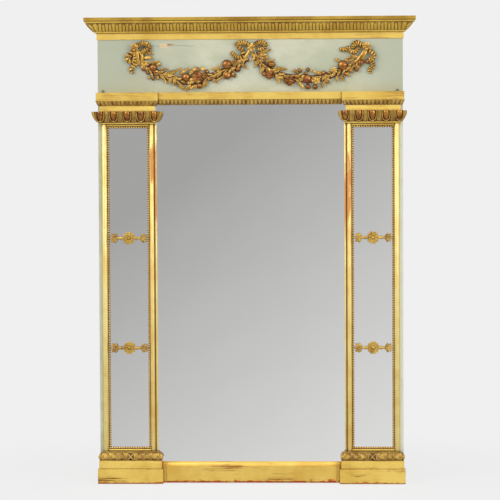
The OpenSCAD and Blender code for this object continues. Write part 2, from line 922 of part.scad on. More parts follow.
module swag(side) {
  steps = 12;
  end_leaf = 0.6;
  fruit_out = 0.25;
  color(brown_gold)
    on_side(side)
      on_frieze() {
        for (i = [0:steps - 1])
          hull() {
            translate(swag_point(i / steps)) sphere(r = stem_r, $fn = 8);
            translate(swag_point((i + 1) / steps)) sphere(r = stem_r, $fn = 8);
          }
        strand(swag_point(1), swag_point(1) + [swag_tail_l, 0, -swag_tail_h]);
        for (i = [0:leaf_count - 1]) {
          t = (i + 0.5) / leaf_count;
          edge = i % 2 * 2 - 1;
          heading = swag_slope(t) + (t < 0.5 ? 180 : 0) + edge * leaf_spread;
          translate(swag_point(t))
            rotate([0, -heading, 0])
              leaf(leaf_l * (end_leaf + (1 - end_leaf) * sin(180 * t)), leaf_w);
        }
        for (f = swag_fruits)
          translate(swag_point(f[0]) + [0, -fruit_out * f[2], f[1]]) sphere(r = f[2], $fn = 12);
      }
}

// One strand of ribbon from a to b, in the plane of the frieze.
module strand(a, b) {
  steps = 4;
  for (i = [0:steps - 1])
    hull() {
      translate(a + (b - a) * i / steps) sphere(r = ribbon_r, $fn = 6);
      translate(a + (b - a) * (i + 1) / steps) sphere(r = ribbon_r, $fn = 6);
    }
}

// A bow: knot, two round loops and two tails that end at the given places beside and below the knot.
module bow(x, tails) {
  color(brown_gold)
    on_frieze()
      translate([x, face_y - ribbon_r, z_frieze + bow_h]) {
        sphere(r = bow_loop_r, $fn = 10);
        for (turn = [-1, 1])
          translate([turn * 2 * bow_loop_r, 0, bow_loop_r / 2])
            rotate([90, 0, 0])
              rotate_extrude($fn = 12)
                translate([bow_loop_r, 0]) circle(r = ribbon_r, $fn = 8);
        for (tail = tails) strand([0, 0, 0], [tail[0], 0, tail[1]]);
      }
}

// Hangers

module hanger_strap(side) {
  color(iron)
    on_side(side)
      difference() {
        union() {
          box_from([hanger_x - strap_w / 2, pocket_y, hanger_h - strap_l],
                   [hanger_x + strap_w / 2, pocket_y + strap_t, hanger_h]);
          box_from([hanger_x - strap_w / 2, pocket_y, hanger_h - knuckle_r],
                   [hanger_x + strap_w / 2, pin_y, hanger_h]);
          translate([hanger_x, pin_y, hanger_h])
            rotate([0, 90, 0])
              cylinder(r = knuckle_r, h = strap_w, center = true);
        }
        translate([hanger_x, pin_y, hanger_h])
          rotate([0, 90, 0]) {
            cylinder(r = pin_r + pin_gap, h = strap_w + 2 * over_cut, center = true);
            cylinder(r = knuckle_r + knuckle_gap, h = middle_knuckle_w + 2 * knuckle_gap, center = true);
          }
        strap_screw_places() screw(screw_gap);
      }
}

module hanger_pin(side) {
  head_at = strap_w / 2 + joint_gap / 2;
  color(iron)
    on_side(side)
      translate([hanger_x, pin_y, hanger_h])
        rotate([0, 90, 0]) {
          cylinder(r = pin_r, h = 2 * (head_at + pin_head), center = true);
          for (end = [-1, 1])
            translate([0, 0, end * (head_at + pin_head / 2)])
              cylinder(r = pin_r + pin_head, h = pin_head, center = true);
        }
}

// The eye plate hangs down from its pin over the strap.
module hanger_eye(side) {
  color(iron)
    on_side(side)
      translate([hanger_x, pin_y, hanger_h])
        difference() {
          union() {
            rotate([0, 90, 0]) cylinder(r = knuckle_r, h = middle_knuckle_w, center = true);
            box_from([-middle_knuckle_w / 2, -eye_t / 2, -eye_reach], [middle_knuckle_w / 2, eye_t / 2, 0]);
            translate([0, 0, -eye_reach])
              rotate([90, 0, 0])
                cylinder(r = eye_r, h = eye_t, center = true);
          }
          rotate([0, 90, 0]) cylinder(r = pin_r + pin_gap, h = middle_knuckle_w + 2 * over_cut, center = true);
          translate([0, 0, -eye_reach])
            rotate([90, 0, 0])
              cylinder(r = eye_hole_r, h = eye_t + 2 * over_cut, center = true);
        }
}

stile(-1);  // stile_left
stile(1);  // stile_right
frieze_board();
lower_rail();
main_glass();
glass_blocks();
backboard(lower_board);  // backboard_lower
backboard(upper_board);  // backboard_upper
wood_screws();
cornice_top();
cornice_front();
cornice_return(-1);  // cornice_return_left
cornice_return(1);  // cornice_return_right
cornice_fascia();
architrave();
lower_moulding();
outer_moulding(-1);  // outer_moulding_left
outer_moulding(1);  // outer_moulding_right
inner_moulding(-1);  // inner_moulding_left
inner_moulding(1);  // inner_moulding_right
end_rails(-1);  // end_rails_left
end_rails(1);  // end_rails_right
bead_strips(-1);  // bead_strips_left
bead_strips(1);  // bead_strips_right
side_glass(-1, lower_glass[0], lower_glass[1]);  // side_glass_left_lower
side_glass(-1, middle_glass[0], middle_glass[1]);  // side_glass_left_middle
side_glass(-1, upper_glass[0], upper_glass[1]);  // side_glass_left_upper
side_glass(1, lower_glass[0], lower_glass[1]);  // side_glass_right_lower
side_glass(1, middle_glass[0], middle_glass[1]);  // side_glass_right_middle
side_glass(1, upper_glass[0], upper_glass[1]);  // side_glass_right_upper
rosette_bar(-1, lower_joint);  // rosette_bar_left_lower
rosette_bar(-1, upper_joint);  // rosette_bar_left_upper
rosette_bar(1, lower_joint);  // rosette_bar_right_lower
rosette_bar(1, upper_joint);  // rosette_bar_right_upper
astragal(-1);  // astragal_left
astragal(1);  // astragal_right
egg_band(-1);  // egg_band_left
egg_band(1);  // egg_band_right
neck(-1);  // neck_left
neck(1);  // neck_right
abacus(-1);  // abacus_left
abacus(1);  // abacus_right
torus(-1);  // torus_left
torus(1);  // torus_right
plinth(-1, upper_plinth_over, upper_plinth_out, z_upper_plinth, z_torus);  // upper_plinth_left
plinth(1, upper_plinth_over, upper_plinth_out, z_upper_plinth, z_torus);  // upper_plinth_right
plinth(-1, lower_plinth_over, lower_plinth_out, 0, z_upper_plinth);  // lower_plinth_left
plinth(1, lower_plinth_over, lower_plinth_out, 0, z_upper_plinth);  // lower_plinth_right
swag(-1);  // swag_left
swag(1);  // swag_right
mirror([1, 0, 0]) bow(bow_x, outer_tails);  // bow_left
bow(0, middle_tails);  // bow_middle
bow(bow_x, outer_tails);  // bow_right
hanger_strap(-1);  // hanger_strap_left
hanger_strap(1);  // hanger_strap_right
hanger_pin(-1);  // hanger_pin_left
hanger_pin(1);  // hanger_pin_right
hanger_eye(-1);  // hanger_eye_left
hanger_eye(1);  // hanger_eye_right
screw_eyes();
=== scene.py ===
"""A large gilded and painted wall mirror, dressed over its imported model.

The model gives every board, moulding and plate. This script carves the ornament (cornice leaves, egg
bands, leaf-tip edges, pearls, swags, bows and rosettes), gilds and paints the rest, and sets the
mirror in a plain pale studio. Sizes are in millimetres in the classes and in metres in the meshes.
"""

from __future__ import annotations

import logging
import math
from dataclasses import dataclass, field
from enum import Enum
from typing import Callable, Iterable, Sequence

import bpy
from mathutils import Euler, Matrix, Vector


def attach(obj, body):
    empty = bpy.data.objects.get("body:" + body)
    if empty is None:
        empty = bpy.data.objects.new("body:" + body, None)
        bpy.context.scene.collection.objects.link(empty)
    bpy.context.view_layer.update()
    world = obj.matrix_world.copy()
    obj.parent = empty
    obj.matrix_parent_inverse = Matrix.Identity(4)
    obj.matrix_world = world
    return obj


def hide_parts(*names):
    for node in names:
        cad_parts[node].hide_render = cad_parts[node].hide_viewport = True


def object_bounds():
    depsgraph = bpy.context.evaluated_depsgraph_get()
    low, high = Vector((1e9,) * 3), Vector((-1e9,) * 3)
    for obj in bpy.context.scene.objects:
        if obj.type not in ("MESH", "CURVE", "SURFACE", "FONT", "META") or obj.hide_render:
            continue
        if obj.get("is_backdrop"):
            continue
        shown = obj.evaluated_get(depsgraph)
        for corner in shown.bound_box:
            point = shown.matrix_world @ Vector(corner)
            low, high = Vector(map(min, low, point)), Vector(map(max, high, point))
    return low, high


LOG = logging.getLogger("mirror")
MM = 0.001
# Points closer than this are one, in metres: in a carved piece, in a node of the model, in a row of copies
DOUBLES = 0.00001
NODE_WELD = 0.00002
ROW_WELD = 0.00005
# The rosette bars' places and heights over the floor, in mm
ROSETTES = (("lower", 512.0), ("upper", 927.0))
BODY = "frame"
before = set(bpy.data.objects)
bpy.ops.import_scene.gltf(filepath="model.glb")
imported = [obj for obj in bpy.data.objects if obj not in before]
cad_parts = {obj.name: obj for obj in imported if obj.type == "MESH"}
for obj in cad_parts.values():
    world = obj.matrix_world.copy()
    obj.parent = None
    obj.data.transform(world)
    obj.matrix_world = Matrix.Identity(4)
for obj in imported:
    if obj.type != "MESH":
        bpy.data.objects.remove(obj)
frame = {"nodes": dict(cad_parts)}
Colour = tuple[float, float, float]
Point = tuple[float, float, float]


def tone(red: int, green: int, blue: int) -> Colour:
    """Turns a colour as seen on screen, 0 to 255, into the linear values that a shader takes.

    Args:
        red: Red part, 0 to 255.
        green: Green part, 0 to 255.
        blue: Blue part, 0 to 255.

    Returns:
        The three linear values, 0 to 1.
    """

    def linear(part: int) -> float:
        """One part in linear light."""
        share = part / 255
        return share / 12.92 if share <= 0.04045 else ((share + 0.055) / 1.055) ** 2.4

    return (linear(red), linear(green), linear(blue))


class Side(Enum):
    """Left or right half of the mirror, as seen from the front."""

    LEFT = -1
    RIGHT = 1

    @property
    def word(self) -> str:
        """The word that the model's nodes use for this side."""
        return self.name.lower()


# The bench: tools that shape one piece at a time.


def clear() -> None:
    """Leaves edit mode and deselects everything."""
    if bpy.context.mode != "OBJECT":
        bpy.ops.object.mode_set(mode="OBJECT")
    bpy.ops.object.select_all(action="DESELECT")


def pick(pieces: Sequence[bpy.types.Object]) -> None:
    """Selects only the given pieces; the first becomes the active one."""
    clear()
    for piece in pieces:
        piece.select_set(True)
    bpy.context.view_layer.objects.active = pieces[0]


def taken(name: str) -> bpy.types.Object:
    """Names the piece that an operator has just added, and puts its place into its mesh.

    Args:
        name: The piece's name.

    Returns:
        The piece, at the origin.
    """
    piece = bpy.context.object
    piece.name = name
    piece.data.name = name
    bpy.ops.object.transform_apply(location=True, rotation=True, scale=True)
    return piece


def block(name: str, low: Point, high: Point) -> bpy.types.Object:
    """A rectangular blank between two corners, in mm."""
    clear()
    centre = [(a + b) / 2 * MM for a, b in zip(low, high)]
    size = [(b - a) * MM for a, b in zip(low, high)]
    bpy.ops.mesh.primitive_cube_add(size=1, location=centre, scale=size)
    return taken(name)


def ball(name: str, centre: Point, radius: Point, segments: int = 14, rings: int = 10) -> bpy.types.Object:
    """A rounded blank with its poles on Y, so that its finest faces look out of the front, in mm.

    Args:
        name: The piece's name.
        centre: Its centre.
        radius: Its half-sizes along X, Y and Z.
        segments: Faces round the Y axis.
        rings: Faces from pole to pole.

    Returns:
        The blank.
    """
    clear()
    bpy.ops.mesh.primitive_uv_sphere_add(segments=segments, ring_count=rings, radius=1)
    piece = taken(name)
    reshape(piece, lambda p: Vector((p.x * radius[0], -p.z * radius[1], p.y * radius[2])) * MM)
    reshape(piece, lambda p: p + Vector(centre) * MM)
    return piece


def sheet(name: str, across: int, along: int) -> bpy.types.Object:
    """A flat blank whose X runs from -1 to 1 and whose Z runs from 0 to 1, to be moulded.

    Args:
        name: The piece's name.
        across: Faces across X.
        along: Faces along Z.

    Returns:
        The blank, facing -Y.
    """
    clear()
    bpy.ops.mesh.primitive_grid_add(x_subdivisions=across, y_subdivisions=along, size=2)
    piece = taken(name)
    reshape(piece, lambda p: Vector((p.x, 0, (p.y + 1) / 2)))
    return piece


def reshape(piece: bpy.types.Object, move: Callable[[Vector], Vector]) -> bpy.types.Object:
    """Moves each vertex of a piece to where move puts it.

    Args:
        piece: The piece.
        move: Gives a vertex's new place from its old one.

    Returns:
        The same piece.
    """
    for vertex in piece.data.vertices:
        vertex.co = move(vertex.co.copy())
    piece.data.update()
    return piece


def with_dirt_and_shade(piece: bpy.types.Object, dirt: Callable[[Vector], float]) -> bpy.types.Object:
    """Marks soiling and painted shade in creases and hollows, on a blank that is not yet moulded; GoldLeaf shows it.

    Args:
        piece: The blank.
        dirt: Gives how dark a point of it is marked, for soiling and painted shade, 0 to 1.

    Returns:
        The same piece.
    """
    marks = piece.data.attributes.new("dirt", "FLOAT", "POINT")
    for vertex, mark in zip(piece.data.vertices, marks.data):
        mark.value = max(0.0, min(1.0, dirt(vertex.co)))
    return piece


def finish_with(piece: bpy.types.Object, kind: str, **settings: object) -> bpy.types.Object:
    """Adds a modifier, sets it and applies it.

    Args:
        piece: The piece.
        kind: The modifier's type.
        settings: The modifier's values.

    Returns:
        The same piece.
    """
    pick([piece])
    modifier = piece.modifiers.new(kind.lower(), kind)
    for key, value in settings.items():
        setattr(modifier, key, value)
    bpy.ops.object.modifier_apply(modifier=modifier.name)
    return piece


def repeated(piece: bpy.types.Object, step: Iterable[float], count: int, merged: bool = False) -> bpy.types.Object:
    """Repeats a piece in steps.

    Args:
        piece: The first of the row.
        step: From one to the next along each axis, in metres.
        count: How many the row has.
        merged: Whether neighbours share the points where they meet.

    Returns:
        The row.
    """
    weld = {"use_merge_vertices": True, "merge_threshold": ROW_WELD} if merged else {}
    return finish_with(
        piece, "ARRAY", count=count, use_relative_offset=False, use_constant_offset=True,
        constant_offset_displace=tuple(step), **weld,
    )


def thicken(piece: bpy.types.Object, thickness: float) -> bpy.types.Object:
    """Gives a moulded sheet its thickness behind its front, in mm."""
    return finish_with(piece, "SOLIDIFY", thickness=thickness * MM, offset=-1)


def face_out(piece: bpy.types.Object) -> bpy.types.Object:
    """Merges doubles and turns all faces outwards."""
    pick([piece])
    bpy.ops.object.mode_set(mode="EDIT")
    bpy.ops.mesh.select_all(action="SELECT")
    bpy.ops.mesh.remove_doubles(threshold=DOUBLES)
    bpy.ops.mesh.normals_make_consistent(inside=False)
    bpy.ops.object.mode_set(mode="OBJECT")
    return piece


def moulded(piece: bpy.types.Object, place: Callable[[Vector], Vector], thickness: float) -> bpy.types.Object:
    """Moulds a sheet, gives it its thickness in mm and turns its faces outwards."""
    return face_out(thicken(reshape(piece, place), thickness))


def copied(master: bpy.types.Object, place: Matrix) -> bpy.types.Object:
    """A copy of a piece with a mesh of its own, moved by a matrix given in metres."""
    piece = master.copy()
    piece.data = master.data.copy()
    piece.data.transform(place)
    if place.determinant() < 0:
        piece.data.flip_normals()
    bpy.context.scene.collection.objects.link(piece)
    return piece


def set_at(where: Point, turn: Point = (0, 0, 0), size: float | Point = 1.0) -> Matrix:
    """The matrix that sizes a piece, turns it by angles in degrees and moves it to a place in mm.

    Args:
        where: The place.
        turn: Angles round X, Y and Z, taken in that order.
        size: One factor, or one for each axis.

    Returns:
        The matrix, in metres.
    """
    factors = size if isinstance(size, tuple) else (size, size, size)
    angles = Euler([math.radians(a) for a in turn], "XYZ").to_matrix().to_4x4()
    return Matrix.Translation(Vector(where) * MM) @ angles @ Matrix.Diagonal((*factors, 1))


def wreath(
    master: bpy.types.Object, centre: Point, count: int, away: float, start: float = 0.0, size: float = 1.0,
    spun: bool = True,
) -> list[bpy.types.Object]:
    """Copies of a piece in a ring, as seen from the front, in mm.

    Args:
        master: The piece.
        centre: The ring's centre.
        count: How many copies.
        away: Their distance from the centre.
        start: The first one's angle in degrees.
        size: Their size, 1 for the piece's own.
        spun: Whether each turns with its place in the ring.

    Returns:
        The copies.
    """
    copies = []
    for number in range(count):
        angle = start + number * 360 / count
        x, z = away * math.cos(math.radians(angle)), away * math.sin(math.radians(angle))
        where = (centre[0] + x, centre[1], centre[2] + z)
        copies.append(copied(master, set_at(where, (0, -angle if spun else 0, 0), size)))
    return copies


def joined(name: str, pieces: Sequence[bpy.types.Object], angle: float = 50.0) -> bpy.types.Object:
    """Joins pieces into one and shades it smooth up to an angle.

    Args:
        name: The name of the whole.
        pieces: The pieces, which become one.
        angle: Edges sharper than this, in degrees, stay sharp.

    Returns:
        The joined piece.
    """
    pick(pieces)
    bpy.ops.object.join()
    whole = bpy.context.object
    whole.name = name
    whole.data.name = name
    bpy.ops.object.shade_smooth_by_angle(angle=math.radians(angle))
    return whole


def scrapped(pieces: Iterable[bpy.types.Object]) -> None:
    """Removes masters that have been copied."""
    for piece in pieces:
        mesh = piece.data
        bpy.data.objects.remove(piece)
        if mesh.users == 0:
            bpy.data.meshes.remove(mesh)


def strand(name: str, points: Sequence[Point], radius: float, steps: int = 6) -> bpy.types.Object:
    """A round stem along a smooth line through points in mm.

    Args:
        name: The piece's name.
        points: The points that the line passes through.
        radius: Radius of the stem.
        steps: Lengths between two points.

    Returns:
        A closed mesh.
    """
    clear()
    bpy.ops.curve.primitive_bezier_curve_add()
    piece = bpy.context.object
    curve = piece.data
    spline = curve.splines[0]
    spline.bezier_points.add(len(points) - 2)
    for knot, point in zip(spline.bezier_points, points):
        knot.co = Vector(point) * MM
        knot.handle_left_type = "AUTO"
        knot.handle_right_type = "AUTO"
    curve.resolution_u = steps
    curve.bevel_depth = radius * MM
    curve.bevel_resolution = 2
    curve.use_fill_caps = True
    pick([piece])
    bpy.ops.object.convert(target="MESH")
    return face_out(taken(name))


# Shader nodes


class Recipe:
    """Builds one material node by node."""

    def __init__(self, name: str) -> None:
        """Starts an empty material.

        Args:
            name: The material's name.
        """
        self.material = bpy.data.materials.new(name)
        self.material.use_nodes = True
        self.tree = self.material.node_tree
        self.tree.nodes.clear()
        self.output = self.tree.nodes.new("ShaderNodeOutputMaterial")
        self.place = self.tree.nodes.new("ShaderNodeTexCoord").outputs["Object"]

    def node(self, kind: str, inputs: dict[str | int, object] | None = None, **settings: object) -> bpy.types.Node:
        """Adds a node.

        Args:
            kind: The node's type.
            inputs: Values or sockets for its inputs.
            settings: Values of the node itself.

        Returns:
            The node.
        """
        made = self.tree.nodes.new(kind)
        for key, value in settings.items():
            setattr(made, key, value)
        for key, value in (inputs or {}).items():
            if isinstance(value, bpy.types.NodeSocket):
                self.tree.links.new(value, made.inputs[key])
            else:
                made.inputs[key].default_value = value
        return made

    def stretched(self, scale: Point, shift: Point = (0, 0, 0)) -> bpy.types.NodeSocket:
        """The piece's own coordinates, scaled and shifted along each axis."""
        made = self.node("ShaderNodeMapping", {"Vector": self.place, "Scale": scale, "Location": shift})
        return made.outputs["Vector"]

    def noise(
        self, scale: float, detail: float = 4, stretch: Point = (1, 1, 1), shift: Point = (0, 0, 0)
    ) -> bpy.types.NodeSocket:
        """Cloudy noise, 0 to 1.

        Args:
            scale: Lumps to the metre.
            detail: How many finer layers it has.
            stretch: Factors along the three axes.
            shift: Where the pattern starts.

        Returns:
            The noise.
        """
        made = self.node(
            "ShaderNodeTexNoise",
            {"Vector": self.stretched(stretch, shift), "Scale": scale, "Detail": detail, "Roughness": 0.6},
        )
        return made.outputs["Fac"]

    def between(self, value: bpy.types.NodeSocket, low: float, high: float) -> bpy.types.NodeSocket:
        """0 below low, 1 above high and smooth between; low may be the larger."""
        made = self.node(
            "ShaderNodeMapRange",
            {"Value": value, "From Min": low, "From Max": high},
            interpolation_type="SMOOTHSTEP",
        )
        return made.outputs["Result"]

    def value(self, kind: str, *inputs: object, clamp: bool = False) -> bpy.types.NodeSocket:
        """The result of one sum, held between 0 and 1 where clamp is set."""
        made = self.node("ShaderNodeMath", dict(enumerate(inputs)), operation=kind, use_clamp=clamp)
        return made.outputs[0]

    def times(self, first: object, second: object) -> bpy.types.NodeSocket:
        """The product of two shares."""
        return self.value("MULTIPLY", first, second, clamp=True)

    def plus(self, first: object, second: object) -> bpy.types.NodeSocket:
        """The sum of two shares, at most 1."""
        return self.value("ADD", first, second, clamp=True)

    def minus(self, first: object, second: object) -> bpy.types.NodeSocket:
        """The first share less the second, at least 0."""
        return self.value("SUBTRACT", first, second, clamp=True)

    def most(self, first: object, second: object) -> bpy.types.NodeSocket:
        """The larger of two shares."""
        return self.value("MAXIMUM", first, second, clamp=True)

    def mixed(self, share: object, first: object, second: object, kind: str = "MIX") -> bpy.types.NodeSocket:
        """A mix of two colours.

        Args:
            share: How much of the second shows.
            first: A colour or socket.
            second: A colour or socket.
            kind: How the second is laid over the first.

        Returns:
            The colour.
        """
        made = self.node("ShaderNodeMix", data_type="RGBA", blend_type=kind)
        for index, value in ((0, share), (6, first), (7, second)):
            if isinstance(value, bpy.types.NodeSocket):
                self.tree.links.new(value, made.inputs[index])
            elif index == 0:
                made.inputs[index].default_value = value
            else:
                made.inputs[index].default_value = (*value, 1)
        return made.outputs[2]

    def part(self, axis: str) -> bpy.types.NodeSocket:
        """One of the piece's own coordinates, in metres."""
        return self.node("ShaderNodeSeparateXYZ", {0: self.place}).outputs[axis]

    def facing(self, axis: str) -> bpy.types.NodeSocket:
        """How far the surface faces along an axis: -1 against it and 1 along it."""
        normal = self.node("ShaderNodeNewGeometry").outputs["Normal"]
        return self.node("ShaderNodeSeparateXYZ", {0: normal}).outputs[axis]

    def near_edges(self, radius: float) -> bpy.types.NodeSocket:
        """0 on flat ground and up to 1 within a radius in metres of an edge."""
        soft = self.node("ShaderNodeBevel", {"Radius": radius}, samples=4).outputs[0]
        hard = self.node("ShaderNodeNewGeometry").outputs["Normal"]
        likeness = self.node("ShaderNodeVectorMath", {0: soft, 1: hard}, operation="DOT_PRODUCT").outputs["Value"]
        return self.between(likeness, 0.995, 0.86)

    def hollows(self, reach: float) -> bpy.types.NodeSocket:
        """1 in hollows of the piece about as deep as reach, in metres, and 0 in the open."""
        made = self.node("ShaderNodeAmbientOcclusion", {"Distance": reach}, samples=6, only_local=True)
        return self.between(made.outputs["AO"], 0.85, 0.25)

    def joints(self, reach: float) -> bpy.types.NodeSocket:
        """1 deep in the corners where pieces meet, within a reach in metres, and 0 in the open."""
        made = self.node("ShaderNodeAmbientOcclusion", {"Distance": reach}, samples=6)
        return self.between(made.outputs["AO"], 0.8, 0.46)

    def dirt_and_shade_marks(self) -> bpy.types.NodeSocket:
        """The soiling and painted shade that with_dirt_and_shade() marked on the piece."""
        return self.node("ShaderNodeAttribute", attribute_name="dirt").outputs["Fac"]

    def steep_sides(self) -> bpy.types.NodeSocket:
        """1 on sides that turn away from the front and 0 on faces that look to it."""
        return self.between(self.facing("Y"), -0.72, -0.22)

    def finished(
        self,
        colour: bpy.types.NodeSocket,
        rough: bpy.types.NodeSocket | float,
        metal: bpy.types.NodeSocket | float,
        height: bpy.types.NodeSocket,
        depth: float,
    ) -> bpy.types.Material:
        """Closes the material with its surface.

        Args:
            colour: The surface's colour.
            rough: Roughness.
            metal: How metallic it is.
            height: Relief finer than the mesh.
            depth: The relief's depth, in metres.

        Returns:
            The material.
        """
        bump = self.node("ShaderNodeBump", {"Height": height, "Strength": 1.0, "Distance": depth}).outputs[0]
        surface = self.node(
            "ShaderNodeBsdfPrincipled", {"Base Color": colour, "Roughness": rough, "Metallic": metal, "Normal": bump}
        )
        self.tree.links.new(surface.outputs[0], self.output.inputs["Surface"])
        return self.material


@dataclass(frozen=True)
class GoldLeaf:
    """Gold leaf over red clay, laid in squares and rubbed by two centuries of dusting, with painted shade in
    hollows, at joints and on steep sides, painted highlights on edges and painted light on upward faces.
    """

    name: str
    leaf: Colour
    shade: Colour
    clay: Colour = tone(176, 84, 34)
    # Dark brown for soiling, specks and grain, and for the painted shade in hollows, at joints and on steep sides
    grime_and_shade: Colour = tone(84, 46, 12)
    umber: Colour = tone(156, 100, 34)
    # The pale gold of the painted highlight along edges
    painted_highlight_tone: Colour = tone(250, 218, 128)
    # The lighter gold painted on upward faces: painted light from above
    top: Colour = tone(206, 168, 84)
    wear: float = 0.25
    streaks: Point = (1.0, 1.0, 1.0)
    edge_wear: float = 0.6
    edge_reach: float = 1.6
    hollow_reach: float = 9.0
    # Darkness in hollows: soiling and painted shade
    hollow_dirt_and_shade: float = 0.75
    laps: float = 78.0
    rough: float = 0.34
    metal: float = 0.62
    foot_wear: float = 0.0
    scuffs: float = 0.0
    # Darkness where pieces meet: soiling and painted shade
    joint_dirt_and_shade: float = 0.85
    joint_reach: float = 9.0
    # Share of painted highlight along edges
    painted_highlight: float = 0.0
    wear_from: float = 0.0
    # Share of painted shade on sides that turn away from the front
    steep_shade: float = 0.0
    # Share of painted light on upward faces
    painted_top_light: float = 0.0
    clouds: float = 9.0
    relief: float = 0.6

    def material(self) -> bpy.types.Material:
        """Builds the leaf's material.

        Returns:
            The material.
        """
        mix = Recipe(self.name)
        grain = mix.noise(160, 4, self.streaks)
        lap = self._laps(mix)
        worn = self._worn(mix)
        dirt = self._dirt_and_shade(mix)
        colour = mix.mixed(mix.between(mix.noise(self.clouds, 5), 0.35, 0.72), self.leaf, self.shade)
        if self.scuffs:
            colour = mix.mixed(self._scuffed(mix), colour, self.umber)
        colour = mix.mixed(mix.times(grain, 0.22), colour, self.grime_and_shade, "MULTIPLY")
        colour = mix.mixed(mix.times(lap, 0.4), colour, self.shade)
        colour = mix.mixed(worn, colour, self.clay)
        # Painted highlight: pale gold laid along edges
        if self.painted_highlight:
            bright = mix.times(mix.near_edges(0.003), self.painted_highlight)
            colour = mix.mixed(bright, colour, self.painted_highlight_tone)
        # Soiling and painted shade in hollows, at joints and on steep sides
        colour = mix.mixed(dirt, colour, self.grime_and_shade)
        # Painted light: upward faces a lighter gold
        if self.painted_top_light:
            upward = mix.between(mix.facing("Z"), 0.7, 0.95)
            colour = mix.mixed(mix.times(upward, self.painted_top_light), colour, self.top)
        specks = mix.between(mix.noise(420, 2, shift=(2, 4, 6)), 0.69, 0.76)
        colour = mix.mixed(mix.times(specks, 0.45), colour, self.grime_and_shade)
        spoilt = mix.plus(worn, dirt)
        rough = mix.plus(self.rough, mix.times(spoilt, 0.3))
        rough = mix.plus(rough, mix.times(grain, 0.12))
        metal = mix.minus(self.metal, mix.times(spoilt, 0.5))
        height = mix.plus(mix.times(grain, 0.5), mix.times(lap, 0.3))
        return mix.finished(colour, rough, metal, height, self.relief * MM)

    def _scuffed(self, mix: Recipe) -> bpy.types.NodeSocket:
        """Smears and fine scratches along the piece."""
        smears = mix.between(mix.noise(9, 5, (0.5, 1, 1.5), (7, 4, 1)), 0.5, 0.68)
        lines = mix.between(mix.noise(70, 4, (0.12, 1, 2.2), (2, 2, 2)), 0.42, 0.62)
        rubbed = mix.times(mix.times(smears, lines), self.scuffs)
        scratches = mix.between(mix.noise(120, 3, (0.05, 1, 1.6), (5, 5, 1)), 0.64, 0.72)
        return mix.plus(rubbed, mix.times(scratches, 0.5))

    def _laps(self, mix: Recipe) -> bpy.types.NodeSocket:
        """The lines where one square of leaf laps the next, as seen from the front."""
        squares = 1 / (self.laps * MM)
        upright = mix.node(
            "ShaderNodeMapping",
            {
                "Vector": mix.place,
                "Scale": (squares, squares, squares),
                "Location": (0.3, 0, 0.4),
                "Rotation": (-math.pi / 2, 0, 0),
            },
        )
        lap_line = mix.node(
            "ShaderNodeTexBrick",
            {
                "Vector": upright.outputs["Vector"],
                "Color1": (0, 0, 0, 1),
                "Color2": (0.35, 0.35, 0.35, 1),
                "Mortar": (1, 1, 1, 1),
                "Scale": 1.0,
                "Mortar Size": 0.012,
                "Mortar Smooth": 0.4,
                "Brick Width": 1.0,
                "Row Height": 1.0,
            },
        )
        return lap_line.outputs["Color"]

    def _worn(self, mix: Recipe) -> bpy.types.NodeSocket:
        """Where the leaf is rubbed through to the clay: in patches, on edges and along the foot."""
        patches = mix.noise(26, 6, self.streaks, (3, 1, 2))
        worn = mix.between(patches, 0.74 - 0.3 * self.wear, 0.84 - 0.3 * self.wear)
        if self.wear_from:
            worn = mix.times(worn, mix.between(mix.part("Z"), self.wear_from - 0.15, self.wear_from + 0.1))
        edges = mix.times(mix.near_edges(self.edge_reach * MM), self.edge_wear)
        edges = mix.times(edges, mix.between(mix.noise(60, 4, shift=(5, 2, 8)), 0.38, 0.6))
        worn = mix.plus(mix.times(worn, 0.85), edges)
        if self.foot_wear:
            ragged = mix.between(mix.noise(45, 5, (1, 1, 3), (1, 7, 3)), 0.3, 0.7)
            reach = mix.value("MULTIPLY", ragged, self.foot_wear * MM)
            over = mix.value("SUBTRACT", mix.part("Z"), reach)
            worn = mix.plus(worn, mix.between(over, 0.003, -0.001))
        return worn

    def _dirt_and_shade(self, mix: Recipe) -> bpy.types.NodeSocket:
        """Soiling and painted shade in hollows, at joints and where the carving marks it, and painted shade on steep
        sides.
        """
        dirt = mix.times(mix.hollows(self.hollow_reach * MM), self.hollow_dirt_and_shade)
        dirt = mix.most(dirt, mix.times(mix.joints(self.joint_reach * MM), self.joint_dirt_and_shade))
        uneven = mix.between(mix.noise(16, 4, shift=(4, 8, 1)), 0.16, 0.6)
        dirt = mix.most(dirt, mix.times(mix.dirt_and_shade_marks(), uneven))
        # Painted shade on sides that turn away from the front
        if self.steep_shade:
            dirt = mix.most(dirt, mix.times(mix.steep_sides(), self.steep_shade))
        return dirt


